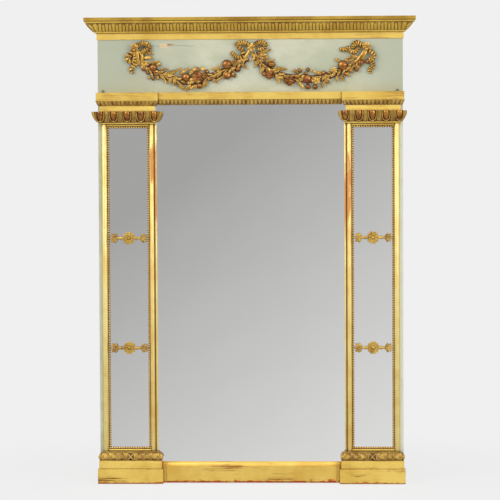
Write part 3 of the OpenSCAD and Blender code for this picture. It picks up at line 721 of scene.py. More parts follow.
@dataclass(frozen=True)
class Paint:
    """Thin old oil paint on pine, with its dents, soiling and joint lines, painted shade near corners and a strip
    painted lighter on the right stile.
    """

    name: str
    paint: Colour = tone(208, 208, 184)
    aged: Colour = tone(184, 188, 160)
    stain: Colour = tone(186, 176, 140)
    bare: Colour = tone(226, 198, 156)
    smoke: Colour = tone(176, 181, 158)
    # Dark tone for cracks and spots, and for the painted shade near corners
    crack: Colour = tone(120, 122, 100)
    splinter: Colour = tone(168, 112, 60)
    # Paint laid lighter on the right stile's strip below the frieze: painted light where the pilaster shades it
    pale: Colour = tone(232, 236, 220)
    pine: Colour = tone(188, 148, 98)
    pine_dark: Colour = tone(142, 102, 62)
    # Places on the frieze, in metres
    chip_at: tuple[float, float] = (-0.323, 1.6505)
    splinter_tip_x: float = -0.279
    splinter_x: float = -0.294
    splinter_z: float = 1.6545
    crack_x: float = -0.295
    crack_z: float = 1.6565

    def material(self) -> bpy.types.Material:
        """Builds the paint's material.

        Returns:
            The material.
        """
        mix = Recipe(self.name)
        clouds = mix.noise(5, 5, (1, 1, 1.6))
        strokes = mix.noise(22, 5, (1, 1, 16), (4, 0, 1))
        colour = mix.mixed(mix.between(clouds, 0.32, 0.7), self.paint, self.aged)
        colour = mix.mixed(mix.times(mix.between(strokes, 0.45, 0.75), 0.28), colour, self.aged)
        left = mix.between(mix.part("X"), -0.15, -0.5)
        smoked = mix.times(left, mix.between(mix.part("Z"), 1.4, 1.5))
        colour = mix.mixed(smoked, colour, self.smoke)
        right_end = mix.times(mix.between(mix.part("X"), 0.3, 0.55), mix.between(mix.part("Z"), 1.4, 1.5))
        colour = mix.mixed(mix.times(right_end, 0.85), colour, self.smoke)
        # Painted light: the right stile's strip below the frieze laid paler
        right_strip_painted_light = mix.times(mix.between(mix.part("X"), 0.5, 0.56), mix.between(mix.part("Z"), 1.47, 1.43))
        colour = mix.mixed(mix.times(right_strip_painted_light, 0.75), colour, self.pale)
        warm = mix.between(mix.noise(12, 4, shift=(9, 3, 5)), 0.52, 0.74)
        colour = mix.mixed(mix.times(warm, 0.3), colour, self.stain)
        spots = mix.between(mix.noise(150, 3, shift=(1, 8, 2)), 0.7, 0.78)
        colour = mix.mixed(mix.times(spots, 0.5), colour, self.crack)
        edges = mix.times(mix.near_edges(0.002), 0.7)
        edges = mix.times(edges, mix.between(mix.noise(70, 4), 0.42, 0.6))
        colour = mix.mixed(edges, colour, self.bare)
        # Painted shade: paint darkened near corners and round the carving, with soiling
        grime_and_shade = mix.node("ShaderNodeAmbientOcclusion", {"Distance": 0.008}, samples=6).outputs["AO"]
        colour = mix.mixed(mix.times(mix.between(grime_and_shade, 0.62, 0.2), 0.3), colour, self.crack)
        front = mix.between(mix.part("Y"), 0.02, 0.012)
        chip = mix.times(self._chip(mix), front)
        colour = mix.mixed(chip, colour, self.bare)
        colour = mix.mixed(mix.times(self._crack_line(mix), front), colour, self.crack)
        colour = mix.mixed(mix.times(self._splinter(mix), front), colour, self.splinter)
        grain = mix.between(mix.noise(60, 6, (1, 1, 0.06)), 0.35, 0.7)
        wood = mix.mixed(grain, self.pine, self.pine_dark)
        backward = mix.between(mix.facing("Y"), 0.3, 0.6)
        bare = mix.most(mix.between(mix.part("Y"), 0.0385, 0.0395), backward)
        colour = mix.mixed(bare, colour, wood)
        height = mix.minus(mix.times(strokes, 0.5), mix.times(chip, 0.4))
        return mix.finished(colour, mix.plus(0.5, mix.times(clouds, 0.25)), 0.0, height, 0.0007)

    def _chip(self, mix: Recipe) -> bpy.types.NodeSocket:
        """The flake missing from the frieze, to the right of the left bow."""
        across = mix.between(self._off(mix, "X", self.chip_at[0]), 0.019, 0.014)
        height = mix.between(self._off(mix, "Z", self.chip_at[1]), 0.0085, 0.005)
        ragged = mix.between(mix.noise(70, 4, (1, 1, 2), (6, 6, 6)), 0.3, 0.45)
        return mix.times(mix.times(across, height), ragged)

    def _splinter(self, mix: Recipe) -> bpy.types.NodeSocket:
        """The brown splinter that runs to a point from the flake's right end."""
        right = mix.value("ADD", mix.part("X"), -self.splinter_tip_x)
        width = mix.value("MULTIPLY", right, -0.11)
        inside = mix.value("SUBTRACT", width, self._off(mix, "Z", self.splinter_z))
        here = mix.between(self._off(mix, "X", self.splinter_x), 0.018, 0.015)
        return mix.times(mix.between(inside, -0.0004, 0.0006), here)

    def _crack_line(self, mix: Recipe) -> bpy.types.NodeSocket:
        """The thin crack that runs along the frieze from the chip."""
        wander = mix.value("MULTIPLY", mix.noise(14, 3), 0.012)
        line = mix.value("ADD", mix.part("Z"), wander)
        away = mix.value("SUBTRACT", line, self.crack_z)
        away = mix.value("ABSOLUTE", away)
        thin = mix.between(away, 0.0014, 0.0004)
        here = mix.between(self._off(mix, "X", self.crack_x), 0.1, 0.07)
        return mix.times(mix.times(thin, here), 0.75)

    @staticmethod
    def _off(mix: Recipe, axis: str, middle: float) -> bpy.types.NodeSocket:
        """Distance from a plane, in metres."""
        away = mix.value("SUBTRACT", mix.part(axis), middle)
        return mix.value("ABSOLUTE", away)


@dataclass(frozen=True)
class BarePine:
    """Sawn and planed pine, gone brown on the side that faces the wall."""

    name: str
    light: Colour = tone(190, 150, 100)
    dark: Colour = tone(120, 82, 48)
    upright: bool = True

    def material(self) -> bpy.types.Material:
        """Builds the wood's material.

        Returns:
            The material.
        """
        mix = Recipe(self.name)
        stretch = (1, 1, 0.06) if self.upright else (0.06, 1, 1)
        figure = mix.noise(60, 6, stretch)
        rings = mix.node(
            "ShaderNodeTexWave",
            {"Vector": mix.stretched(stretch), "Scale": 17, "Distortion": 9, "Detail": 3, "Detail Scale": 2},
            bands_direction="X" if self.upright else "Z",
        ).outputs["Fac"]
        colour = mix.mixed(mix.times(mix.between(rings, 0.2, 0.9), 0.35), self.light, self.dark)
        colour = mix.mixed(mix.times(mix.between(figure, 0.4, 0.7), 0.5), colour, self.dark)
        dust = mix.between(mix.noise(7, 4), 0.45, 0.7)
        colour = mix.mixed(mix.times(dust, 0.3), colour, tone(140, 120, 96))
        return mix.finished(colour, mix.plus(0.6, mix.times(figure, 0.2)), 0.0, figure, 0.001)


@dataclass(frozen=True)
class MirrorPlate:
    """Old silvered plate: even, a little wavy, with faint foxing near its edges."""

    name: str
    silver: Colour = (0.93, 0.93, 0.92)

    def material(self) -> bpy.types.Material:
        """Builds the plate's material.

        Returns:
            The material.
        """
        mix = Recipe(self.name)
        haze = mix.between(mix.noise(4, 3), 0.35, 0.75)
        colour = mix.mixed(mix.times(haze, 0.35), self.silver, (0.9, 0.9, 0.885))
        foxing = mix.between(mix.noise(110, 5, shift=(2, 2, 9)), 0.735, 0.8)
        colour = mix.mixed(mix.times(foxing, 0.25), colour, tone(120, 112, 96))
        rough = mix.plus(0.012, mix.times(foxing, 0.25))
        return mix.finished(colour, rough, 1.0, mix.noise(3, 1), 0.0003)


@dataclass(frozen=True)
class ForgedIron:
    """Hand-forged iron, black with brown rust in its pits."""

    name: str
    iron: Colour = tone(50, 44, 40)
    rust: Colour = tone(88, 56, 38)

    def material(self) -> bpy.types.Material:
        """Builds the iron's material.

        Returns:
            The material.
        """
        mix = Recipe(self.name)
        pits = mix.noise(260, 5)
        clouds = mix.noise(40, 4, shift=(3, 3, 3))
        colour = mix.mixed(mix.between(clouds, 0.42, 0.68), self.iron, self.rust)
        bright = mix.times(mix.near_edges(0.001), 0.5)
        colour = mix.mixed(bright, colour, tone(150, 142, 132))
        rough = mix.plus(0.42, mix.times(clouds, 0.35))
        return mix.finished(colour, rough, mix.minus(0.9, mix.between(clouds, 0.4, 0.7)), pits, 0.0008)


@dataclass
class Finishes:
    """All the finishes, each made once."""

    bright: bpy.types.Material = field(init=False)
    upright: bpy.types.Material = field(init=False)
    rubbed: bpy.types.Material = field(init=False)
    plinth: bpy.types.Material = field(init=False)
    rail: bpy.types.Material = field(init=False)
    old: bpy.types.Material = field(init=False)
    top: bpy.types.Material = field(init=False)
    carved: bpy.types.Material = field(init=False)
    fruit: bpy.types.Material = field(init=False)
    egg: bpy.types.Material = field(init=False)
    pearl: bpy.types.Material = field(init=False)
    painted_shade_ground: bpy.types.Material = field(init=False)
    torus: bpy.types.Material = field(init=False)
    neck: bpy.types.Material = field(init=False)
    paint: bpy.types.Material = field(init=False)
    pine_long: bpy.types.Material = field(init=False)
    pine_cross: bpy.types.Material = field(init=False)
    plate: bpy.types.Material = field(init=False)
    iron: bpy.types.Material = field(init=False)

    def __post_init__(self) -> None:
        """Makes every material."""
        gold, deep = tone(242, 208, 106), tone(224, 182, 80)
        self.bright = GoldLeaf("gold_bright", gold, deep, streaks=(0.3, 1, 1), scuffs=0.6).material()
        self.upright = GoldLeaf(
            "gold_upright", tone(242, 226, 150), tone(226, 196, 104), streaks=(1, 1, 0.25), metal=0.5
        ).material()
        self.rubbed = GoldLeaf(
            "gold_rubbed", tone(246, 222, 138), tone(228, 192, 102), clay=tone(214, 136, 60), wear=0.8,
            streaks=(1, 1, 0.16), edge_wear=0.8, wear_from=0.95, metal=0.5,
        ).material()
        self.plinth = GoldLeaf(
            "gold_plinth", tone(250, 218, 112), tone(230, 190, 84), clay=tone(186, 112, 38), umber=tone(140, 86, 26),
            streaks=(0.18, 1, 1.4), edge_wear=1.0, edge_reach=6.0, foot_wear=9, scuffs=1.6,
        ).material()
        self.rail = GoldLeaf(
            "gold_rail", gold, deep, streaks=(0.2, 1, 1), clay=tone(196, 84, 24), foot_wear=16, scuffs=1.2
        ).material()
        self.old = GoldLeaf(
            "gold_old", tone(240, 204, 90), tone(206, 164, 60), clay=tone(150, 92, 30), grime_and_shade=tone(92, 48, 10),
            hollow_dirt_and_shade=1.0, hollow_reach=6.0, painted_highlight=0.5, edge_wear=0.2, steep_shade=0.35,
        ).material()
        self.top = GoldLeaf(
            "gold_top", tone(206, 170, 66), tone(158, 120, 38), clay=tone(150, 92, 30), grime_and_shade=tone(84, 44, 10),
            streaks=(0.2, 1, 1), scuffs=1.0,
        ).material()
        self.carved = GoldLeaf(
            "gold_carved", tone(234, 188, 86), tone(150, 100, 36), clay=tone(132, 70, 30), grime_and_shade=tone(70, 32, 12),
            wear=0.5, edge_wear=0.1, hollow_reach=8.0, hollow_dirt_and_shade=1.0, laps=31.0, rough=0.2, metal=0.75, painted_highlight=0.35,
            steep_shade=0.95, clouds=60.0,
        ).material()
        self.fruit = GoldLeaf(
            "gold_fruit", tone(184, 126, 56), tone(104, 56, 28), clay=tone(126, 50, 28), grime_and_shade=tone(58, 24, 12),
            wear=0.66, edge_wear=0.1, hollow_dirt_and_shade=1.0, laps=40.0, rough=0.16, metal=0.75, steep_shade=0.95,
            clouds=45.0,
        ).material()
        self.egg = GoldLeaf(
            "gold_egg", tone(198, 138, 54), tone(122, 66, 32), clay=tone(104, 48, 28), grime_and_shade=tone(56, 24, 10),
            wear=0.65, edge_wear=0.1, laps=60.0, rough=0.1, metal=0.7, steep_shade=0.7, painted_top_light=1.0, clouds=40.0,
        ).material()
        self.pearl = GoldLeaf(
            "gold_pearl", tone(246, 214, 132), tone(222, 176, 92), clay=tone(196, 120, 60), wear=0.4,
            hollow_reach=3.0, hollow_dirt_and_shade=0.7, edge_wear=0.0, joint_dirt_and_shade=0.25, steep_shade=0.5,
        ).material()
        # Dark worn ground for the pearl strips, egg cores and swag backs: clay through the leaf, and painted shade
        # in the hollows; its upward faces take painted light
        self.painted_shade_ground = GoldLeaf(
            "gold_painted_shade_ground", tone(122, 66, 28), tone(92, 46, 20), clay=tone(96, 38, 22), grime_and_shade=tone(44, 22, 10),
            wear=0.8, hollow_dirt_and_shade=1.0, metal=0.2, painted_top_light=1.0,
        ).material()
        self.torus = GoldLeaf(
            "gold_torus", tone(222, 186, 90), tone(160, 118, 46), clay=tone(146, 70, 32), grime_and_shade=tone(84, 42, 12),
            wear=0.45, hollow_reach=4.0, hollow_dirt_and_shade=1.0, painted_highlight=0.35, edge_wear=0.2, steep_shade=0.6, clouds=30.0,
        ).material()
        # A brighter copy of the bright gold for the necks: painted light in the shade under the abacus
        self.neck = GoldLeaf(
            "gold_neck_painted_light", tone(255, 226, 122), tone(238, 200, 92), streaks=(0.3, 1, 1), scuffs=0.4
        ).material()
        self.paint = Paint("paint_grey_green").material()
        self.pine_long = BarePine("pine_upright").material()
        self.pine_cross = BarePine("pine_across", upright=False).material()
        self.plate = MirrorPlate("mirror_plate").material()
        self.iron = ForgedIron("forged_iron").material()


@dataclass
class Workshop:
    """What every sub-assembly needs: the frame's nodes and the finishes."""

    nodes: dict[str, bpy.types.Object]
    finishes: Finishes
    bevel_steps: int = 2
    bevel_angle: float = 40.0

    def dress(self, node: str, material: bpy.types.Material, bevel: float = 0.0) -> None:
        """Gives a node of the model its material and softens its edges.

        Args:
            node: The node's name.
            material: Its finish.
            bevel: Width of the soft edge in mm, or 0.
        """
        piece = self.nodes[node]
        piece.data.materials.clear()
        piece.data.materials.append(material)
        if bevel:
            weld = piece.modifiers.new("weld", "WELD")
            weld.merge_threshold = NODE_WELD
            soft = piece.modifiers.new("soft_edges", "BEVEL")
            soft.width = bevel * MM
            soft.segments = self.bevel_steps
            soft.limit_method = "ANGLE"
            soft.angle_limit = math.radians(self.bevel_angle)
            soft.harden_normals = True
        LOG.info("dressed %s", node)

    def fit(
        self, piece: bpy.types.Object, material: bpy.types.Material, slot: str, instead_of: Sequence[str] = ()
    ) -> bpy.types.Object:
        """Fixes a carved piece to the frame.

        Args:
            piece: The piece, in place.
            material: Its finish.
            slot: Not used.
            instead_of: Nodes of the model that the piece stands for.

        Returns:
            The piece.
        """
        piece.data.materials.clear()
        piece.data.materials.append(material)
        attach(piece, BODY)
        if instead_of:
            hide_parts(*instead_of)
        LOG.info("fitted %s with %d faces", piece.name, len(piece.data.polygons))
        return piece


# Sub-assemblies


@dataclass
class Carcass:
    """Painted stiles and frieze, and the pine and iron at the back."""

    shop: Workshop

    def build(self) -> None:
        """Dresses the boards, blocks, screws and hangers."""
        finish = self.shop.finishes
        for node in ("stile_left", "stile_right"):
            self.shop.dress(node, finish.paint, 0.8)
        self.shop.dress("frieze_board", finish.paint, 0.6)
        self.shop.dress("lower_rail", finish.pine_cross, 0.8)
        for node in ("backboard_lower", "backboard_upper"):
            self.shop.dress(node, finish.pine_long, 0.5)
        self.shop.dress("glass_blocks", finish.pine_cross, 0.4)
        for node in ("wood_screws", "screw_eyes"):
            self.shop.dress(node, finish.iron)
        for side in Side:
            for part in ("strap", "pin", "eye"):
                self.shop.dress(f"hanger_{part}_{side.word}", finish.iron, 0.3)


@dataclass
class Plates:
    """The silvered plates."""

    shop: Workshop

    def build(self) -> None:
        """Silvers the large plate and the six small ones."""
        self.shop.dress("main_glass", self.shop.finishes.plate)
        for side in Side:
            for place in ("lower", "middle", "upper"):
                self.shop.dress(f"side_glass_{side.word}_{place}", self.shop.finishes.plate)


@dataclass
class Mouldings:
    """The plain gilt mouldings, whose shapes come from the model."""

    shop: Workshop

    def build(self) -> None:
        """Gilds the plain mouldings."""
        finish = self.shop.finishes
        self.shop.dress("cornice_fascia", finish.bright, 0.6)
        self.shop.dress("cornice_top", finish.top, 1.2)
        for node in ("cornice_front", "cornice_return_left", "cornice_return_right"):
            self.shop.dress(node, finish.old)
        self.shop.dress("architrave", finish.bright, 0.6)
        self.shop.dress("lower_moulding", finish.rail, 0.8)
        for side in Side:
            self.shop.dress(f"outer_moulding_{side.word}", finish.upright, 0.5)
            self.shop.dress(f"inner_moulding_{side.word}", finish.rubbed, 0.5)
            self.shop.dress(f"end_rails_{side.word}", finish.bright)
            self.shop.dress(f"astragal_{side.word}", finish.bright)
            self.shop.dress(f"neck_{side.word}", finish.neck, 0.6)
            self.shop.dress(f"abacus_{side.word}", finish.bright, 0.8)
            self.shop.dress(f"torus_{side.word}", finish.torus, 0.6)
            self.shop.dress(f"upper_plinth_{side.word}", finish.plinth, 1.0)
            self.shop.dress(f"lower_plinth_{side.word}", finish.plinth, 1.2)


def hump(value: float, middle: float, width: float) -> float:
    """A smooth hump, 1 at its middle and near 0 a width away."""
    return math.exp(-(((value - middle) / width) ** 2) * 2)


@dataclass
class CorniceLeaves:
    """The row of arched leaves and the row of small pearls carved on the cornice, front and returns."""

    shop: Workshop
    half_w: float = 573.5
    face_y: float = 8.0
    wall_y: float = 40.0
    low_out: float = 12.0
    high_out: float = 36.5
    low_z: float = 1707.0
    height: float = 28.0
    swell: float = 1.0
    units: int = 45
    relief: float = 3.4
    cover: float = 0.3
    thickness: float = 2.0
    # Half-width and height of the whole leaf and of the half leaves beside it, as shares
    leaf_size: tuple[float, float] = (0.46, 1.0)
    half_leaf_size: tuple[float, float] = (0.42, 0.88)
    # Height, reach and radius of each row of pearls
    pearl_rows: tuple[tuple[float, float, float], ...] = ((1702.5, 12.0, 4.6), (1739.0, 45.0, 4.1))
    pearl_pitch: float = 9.0
    pearl_proud: float = 0.6
    pearl_share: float = 0.46

    def build(self) -> None:
        """Carves the front row with its corners, and both returns."""
        pitch = 2 * self.half_w / self.units
        # The leaves and their corners are marked dark between the leaves and along the ribs: soiling and painted
        # shade
        unit = with_dirt_and_shade(sheet("cornice_leaf", 24, 9), lambda p: self._dirt_and_shade(p.x, p.z))
        reshape(unit, lambda p: self._front(p.z, -self.half_w + (p.x + 1) / 2 * pitch, self._leaf(p.x, p.z)))
        repeated(unit, (pitch * MM, 0, 0), self.units, merged=True)
        parts = [unit]
        for turn in (-1, 1):
            corner = with_dirt_and_shade(sheet("cornice_leaf", 8, 10), lambda p: self._dirt_and_shade((turn * p.x + 1) / 2, p.z))
            parts.append(reshape(corner, lambda p: self._front_corner(turn, (turn * p.x + 1) / 2, p.z)))
        for part in parts:
            thicken(part, self.thickness)
        front = joined("cornice_leaves_front", [face_out(part) for part in parts], 35)
        self.shop.fit(front, self.shop.finishes.old, "old_gilt")
        for side in Side:
            self._return(side)
        self._pearls()

    def _pearls(self) -> None:
        """Lays a row of small pearls along the bead and one along the fillet, front and sides."""
        rows = []
        for z, out, radius in self.pearl_rows:
            reach = self.half_w + out - radius + self.pearl_proud
            front_y = self.face_y - out + radius - self.pearl_proud
            count = round(2 * reach / self.pearl_pitch)
            step = 2 * reach / count
            half = step * self.pearl_share
            pearl = ball("small_pearl", (-reach, front_y, z), (half, radius, radius), 12, 6)
            # Darker towards each pearl's sides: painted shade between the pearls
            with_dirt_and_shade(pearl, lambda p: abs((p.x / MM + reach) / half) ** 2)
            rows.append(repeated(pearl, (step * MM, 0, 0), count + 1))
            depth = self.wall_y - front_y
            count = int(depth / self.pearl_pitch)
            side_half = self.pearl_pitch * self.pearl_share
            for side in Side:
                place = (side.value * reach, front_y + self.pearl_pitch, z)
                pearl = ball("small_pearl", place, (radius, side_half, radius), 12, 6)
                # Darker towards each pearl's sides: painted shade between the pearls
                with_dirt_and_shade(pearl, lambda p: abs((p.y / MM - place[1]) / side_half) ** 2)
                rows.append(repeated(pearl, (0, self.pearl_pitch * MM, 0), count - 1))
        self.shop.fit(joined("cornice_pearls", rows, 60), self.shop.finishes.old, "old_gilt")

    def _return(self, side: Side) -> None:
        """Carves one return: its corner and one leaf."""
        run = self.wall_y - self.face_y
        # Marked dark between the leaves and along the ribs: soiling and painted shade
        leaf = with_dirt_and_shade(sheet("cornice_leaf", 14, 10), lambda p: self._dirt_and_shade(p.x, p.z))
        reshape(leaf, lambda p: self._side(side, p.z, self.face_y + (p.x + 1) / 2 * run, self._leaf(p.x, p.z)))
        corner = with_dirt_and_shade(sheet("cornice_leaf", 8, 10), lambda p: self._dirt_and_shade((p.x - 1) / 2, p.z))
        reshape(corner, lambda p: self._side(
            side, p.z, self.face_y - (1 - p.x) / 2 * self._out(p.z), self._leaf((p.x - 1) / 2, p.z)
        ))
        for part in (leaf, corner):
            thicken(part, self.thickness)
            reshape(part, lambda p: Vector((p.x, min(p.y, self.wall_y * MM), p.z)))
        piece = joined(f"cornice_leaves_{side.word}", [face_out(leaf), face_out(corner)], 35)
        self.shop.fit(piece, self.shop.finishes.old, "old_gilt")

    def _out(self, share: float) -> float:
        """How far the band reaches out at a share of its height."""
        return self._arc(share, 0.0)[0]

    def _arc(self, share: float, lift: float) -> tuple[float, float]:
        """The leaf band's outline.

        Args:
            share: 0 at its foot and 1 at its top.
            lift: Height over its surface in mm.

        Returns:
            How far it reaches out, and its height over the floor.
        """
        rise = self.high_out - self.low_out
        slope = math.hypot(rise, self.height)
        radius = (slope * slope / 4 + self.swell * self.swell) / (2 * self.swell)
        back = radius - self.swell
        centre = Vector(((self.low_out + self.high_out) / 2 - back * self.height / slope, back * rise / slope))
        half_turn = math.asin(slope / 2 / radius)
        angle = math.atan2(-rise, self.height) + (2 * share - 1) * half_turn
        out = centre.x + (radius + lift) * math.cos(angle)
        return out, self.low_z + self.height / 2 + centre.y + (radius + lift) * math.sin(angle)

    def _front_corner(self, turn: int, across: float, share: float) -> Vector:
        """A point of the half leaf on a front corner, 0 to 1 from the row's end to the mitre."""
        return self._front(share, turn * (self.half_w + across * self._out(share)), self._leaf(across, share))

    def _front(self, share: float, x: float, lift: float) -> Vector:
        """A point on the front row."""
        out, z = self._arc(share, lift)
        return Vector((x, self.face_y - out, z)) * MM

    def _side(self, side: Side, share: float, y: float, lift: float) -> Vector:
        """A point on a return."""
        out, z = self._arc(share, lift)
        return Vector((side.value * (self.half_w + out), y, z)) * MM

    def _leaf(self, across: float, share: float) -> float:
        """The relief of one arched leaf, and half a slimmer one at each side."""
        return self.cover + self.relief * max(0.04, self._lobes(across, share))

    def _lobes(self, across: float, share: float) -> float:
        """The full leaf and the two half leaves beside it, 0 to 1."""
        beside = self._lobe(abs(across) - 1, share, *self.half_leaf_size)
        return max(self._lobe(across, share, *self.leaf_size), beside)

    def _dirt_and_shade(self, across: float, share: float) -> float:
        """Soiling and painted shade between the leaves and along their middle ribs."""
        rib = 0.4 * max(hump(across, 0, 0.07), hump(abs(across), 1, 0.06))
        return max(0.8 * (1 - self._lobes(across, share) / 0.7), rib, 0.4 * hump(share, 0.0, 0.2))

    @staticmethod
    def _lobe(offset: float, share: float, half_w: float, top: float) -> float:
        """An upright lobe with a round head."""
        head = top - 0.3
        broad = half_w * (0.8 + 0.2 * share / top)
        if share > head:
            broad *= math.sqrt(max(0.0, 1 - ((share - head) / (top - head)) ** 2))
        reach = abs(offset) / max(broad, 0.01)
        return 0.0 if reach >= 1 else 0.5 + 0.5 * math.sqrt(1 - reach**2)


@dataclass
class LeafTips:
    """A row of small leaf tips on a sloping edge of the front or of a return."""

    name: str
    start: Point
    run: Point
    units: int
    low_out: float
    high_out: float
    low_z: float
    high_z: float
    drop: float = 2.0
    relief: float = 3.4
    thickness: float = 1.6

    def build(self) -> bpy.types.Object:
        """Carves the row.

        Returns:
            The row, not yet fixed.
        """
        length = Vector(self.run).length
        along = Vector(self.run).normalized()
        outward = Vector((along.y, -along.x, 0))
        pitch = length / self.units
        unit = sheet(self.name, 14, 7)

        def across(p: Vector) -> float:
            """How far a point lies from the leaf's middle: 1 on its edge."""
            return abs(p.x) / max(0.86 * max(0.0, min(1.0, p.z / 0.75)) ** 0.7, 0.02)

        def place(p: Vector) -> Vector:
            """Puts a point of the blank on the slope."""
            share = p.z
            reach = across(p)
            lift = 0.6 + 0.4 * (1 - reach * reach) ** 0.5 if reach < 1 else 0.03
            lift *= 1 - 0.25 * hump(p.x, 0, 0.16)
            tip = self.drop * (1 - abs(p.x)) * (1 - share)
            out = self.low_out + (self.high_out - self.low_out) * share + 0.2 + self.relief * lift
            z = self.low_z + (self.high_z - self.low_z) * share - tip
            here = Vector(self.start) + along * ((p.x + 1) / 2 * pitch) + outward * out
            return Vector((here.x, here.y, z)) * MM

        # Dark between the tips and along their middles: soiling and painted shade
        with_dirt_and_shade(unit, lambda p: 0.75 if across(p) >= 0.95 else 0.3 * hump(p.x, 0, 0.14))
        reshape(unit, place)
        repeated(unit, along * pitch * MM, self.units, merged=True)
        return face_out(thicken(unit, self.thickness))


@dataclass
class TipEdges:
    """The leaf-tip edges of the architrave and both abacus blocks."""

    shop: Workshop
    face_y: float = 8.0
    architrave_half_w: float = 344.6
    abacus_x: float = 461.5
    abacus_w: float = 233.0
    abacus_out: float = 37.0
    # Foot and head of each sloping edge: heights over the floor, and how far behind the abacus's face
    architrave_z: tuple[float, float] = (1428.5, 1446.5)
    architrave_outs: tuple[float, float] = (12.0, 18.0)
    abacus_z: tuple[float, float] = (1425.0, 1443.5)
    abacus_ins: tuple[float, float] = (10.0, 1.0)
    architrave_units: int = 46
    abacus_units: int = 15
    flank_units: int = 2

    def build(self) -> None:
        """Carves and fixes all of them."""
        half = self.architrave_half_w
        row = LeafTips(
            "architrave_tips", (-half, self.face_y, 0), (2 * half, 0, 0), self.architrave_units,
            *self.architrave_outs, *self.architrave_z,
        ).build()
        self.shop.fit(joined("architrave_tips", [row], 40), self.shop.finishes.torus, "gilt_wood")
        depth = self.abacus_out
        slope = (*(depth - behind for behind in self.abacus_ins), *self.abacus_z)
        for side in Side:
            left = side.value * self.abacus_x - self.abacus_w / 2
            right = left + self.abacus_w
            front = LeafTips(
                "tips_front", (left + 1, self.face_y, 0), (self.abacus_w - 2, 0, 0),
                self.abacus_units, *slope, drop=0.5,
            ).build()
            rows = [reshape(front, self._mitre(left, right))]
            for start, run in (
                ((left + depth, self.face_y, 0), (0, -depth + 1, 0)),
                ((right - depth, self.face_y - depth + 1, 0), (0, depth - 1, 0)),
            ):
                flank = LeafTips("tips_flank", start, run, self.flank_units, *slope, drop=0.5).build()
                rows.append(reshape(flank, self._back_mitre()))
            piece = joined(f"abacus_tips_{side.word}", rows, 40)
            self.shop.fit(piece, self.shop.finishes.torus, "gilt_wood")

    def _mitre(self, left: float, right: float) -> Callable[[Vector], Vector]:
        """Draws the front row's ends in with the slope, as a mitre does."""
        centre, half = (left + right) / 2, (right - left) / 2

        def move(p: Vector) -> Vector:
            """One point of the front row."""
            behind = self.abacus_out - (self.face_y - p.y / MM)
            return Vector(((centre + (p.x / MM - centre) * (half - behind + 2) / half) * MM, p.y, p.z))

        return move

    def _back_mitre(self) -> Callable[[Vector], Vector]:
        """Draws a flank's front end in with the slope."""
        foot, head = self.abacus_z
        run = self.abacus_ins[0] - self.abacus_ins[1]

        def move(p: Vector) -> Vector:
            """One point of a flank."""
            ahead = (self.face_y - p.y / MM) / self.abacus_out
            drawn = run * (head - min(head, p.z / MM)) / (head - foot)
            return Vector((p.x, p.y + ahead * drawn * MM, p.z))

        return move


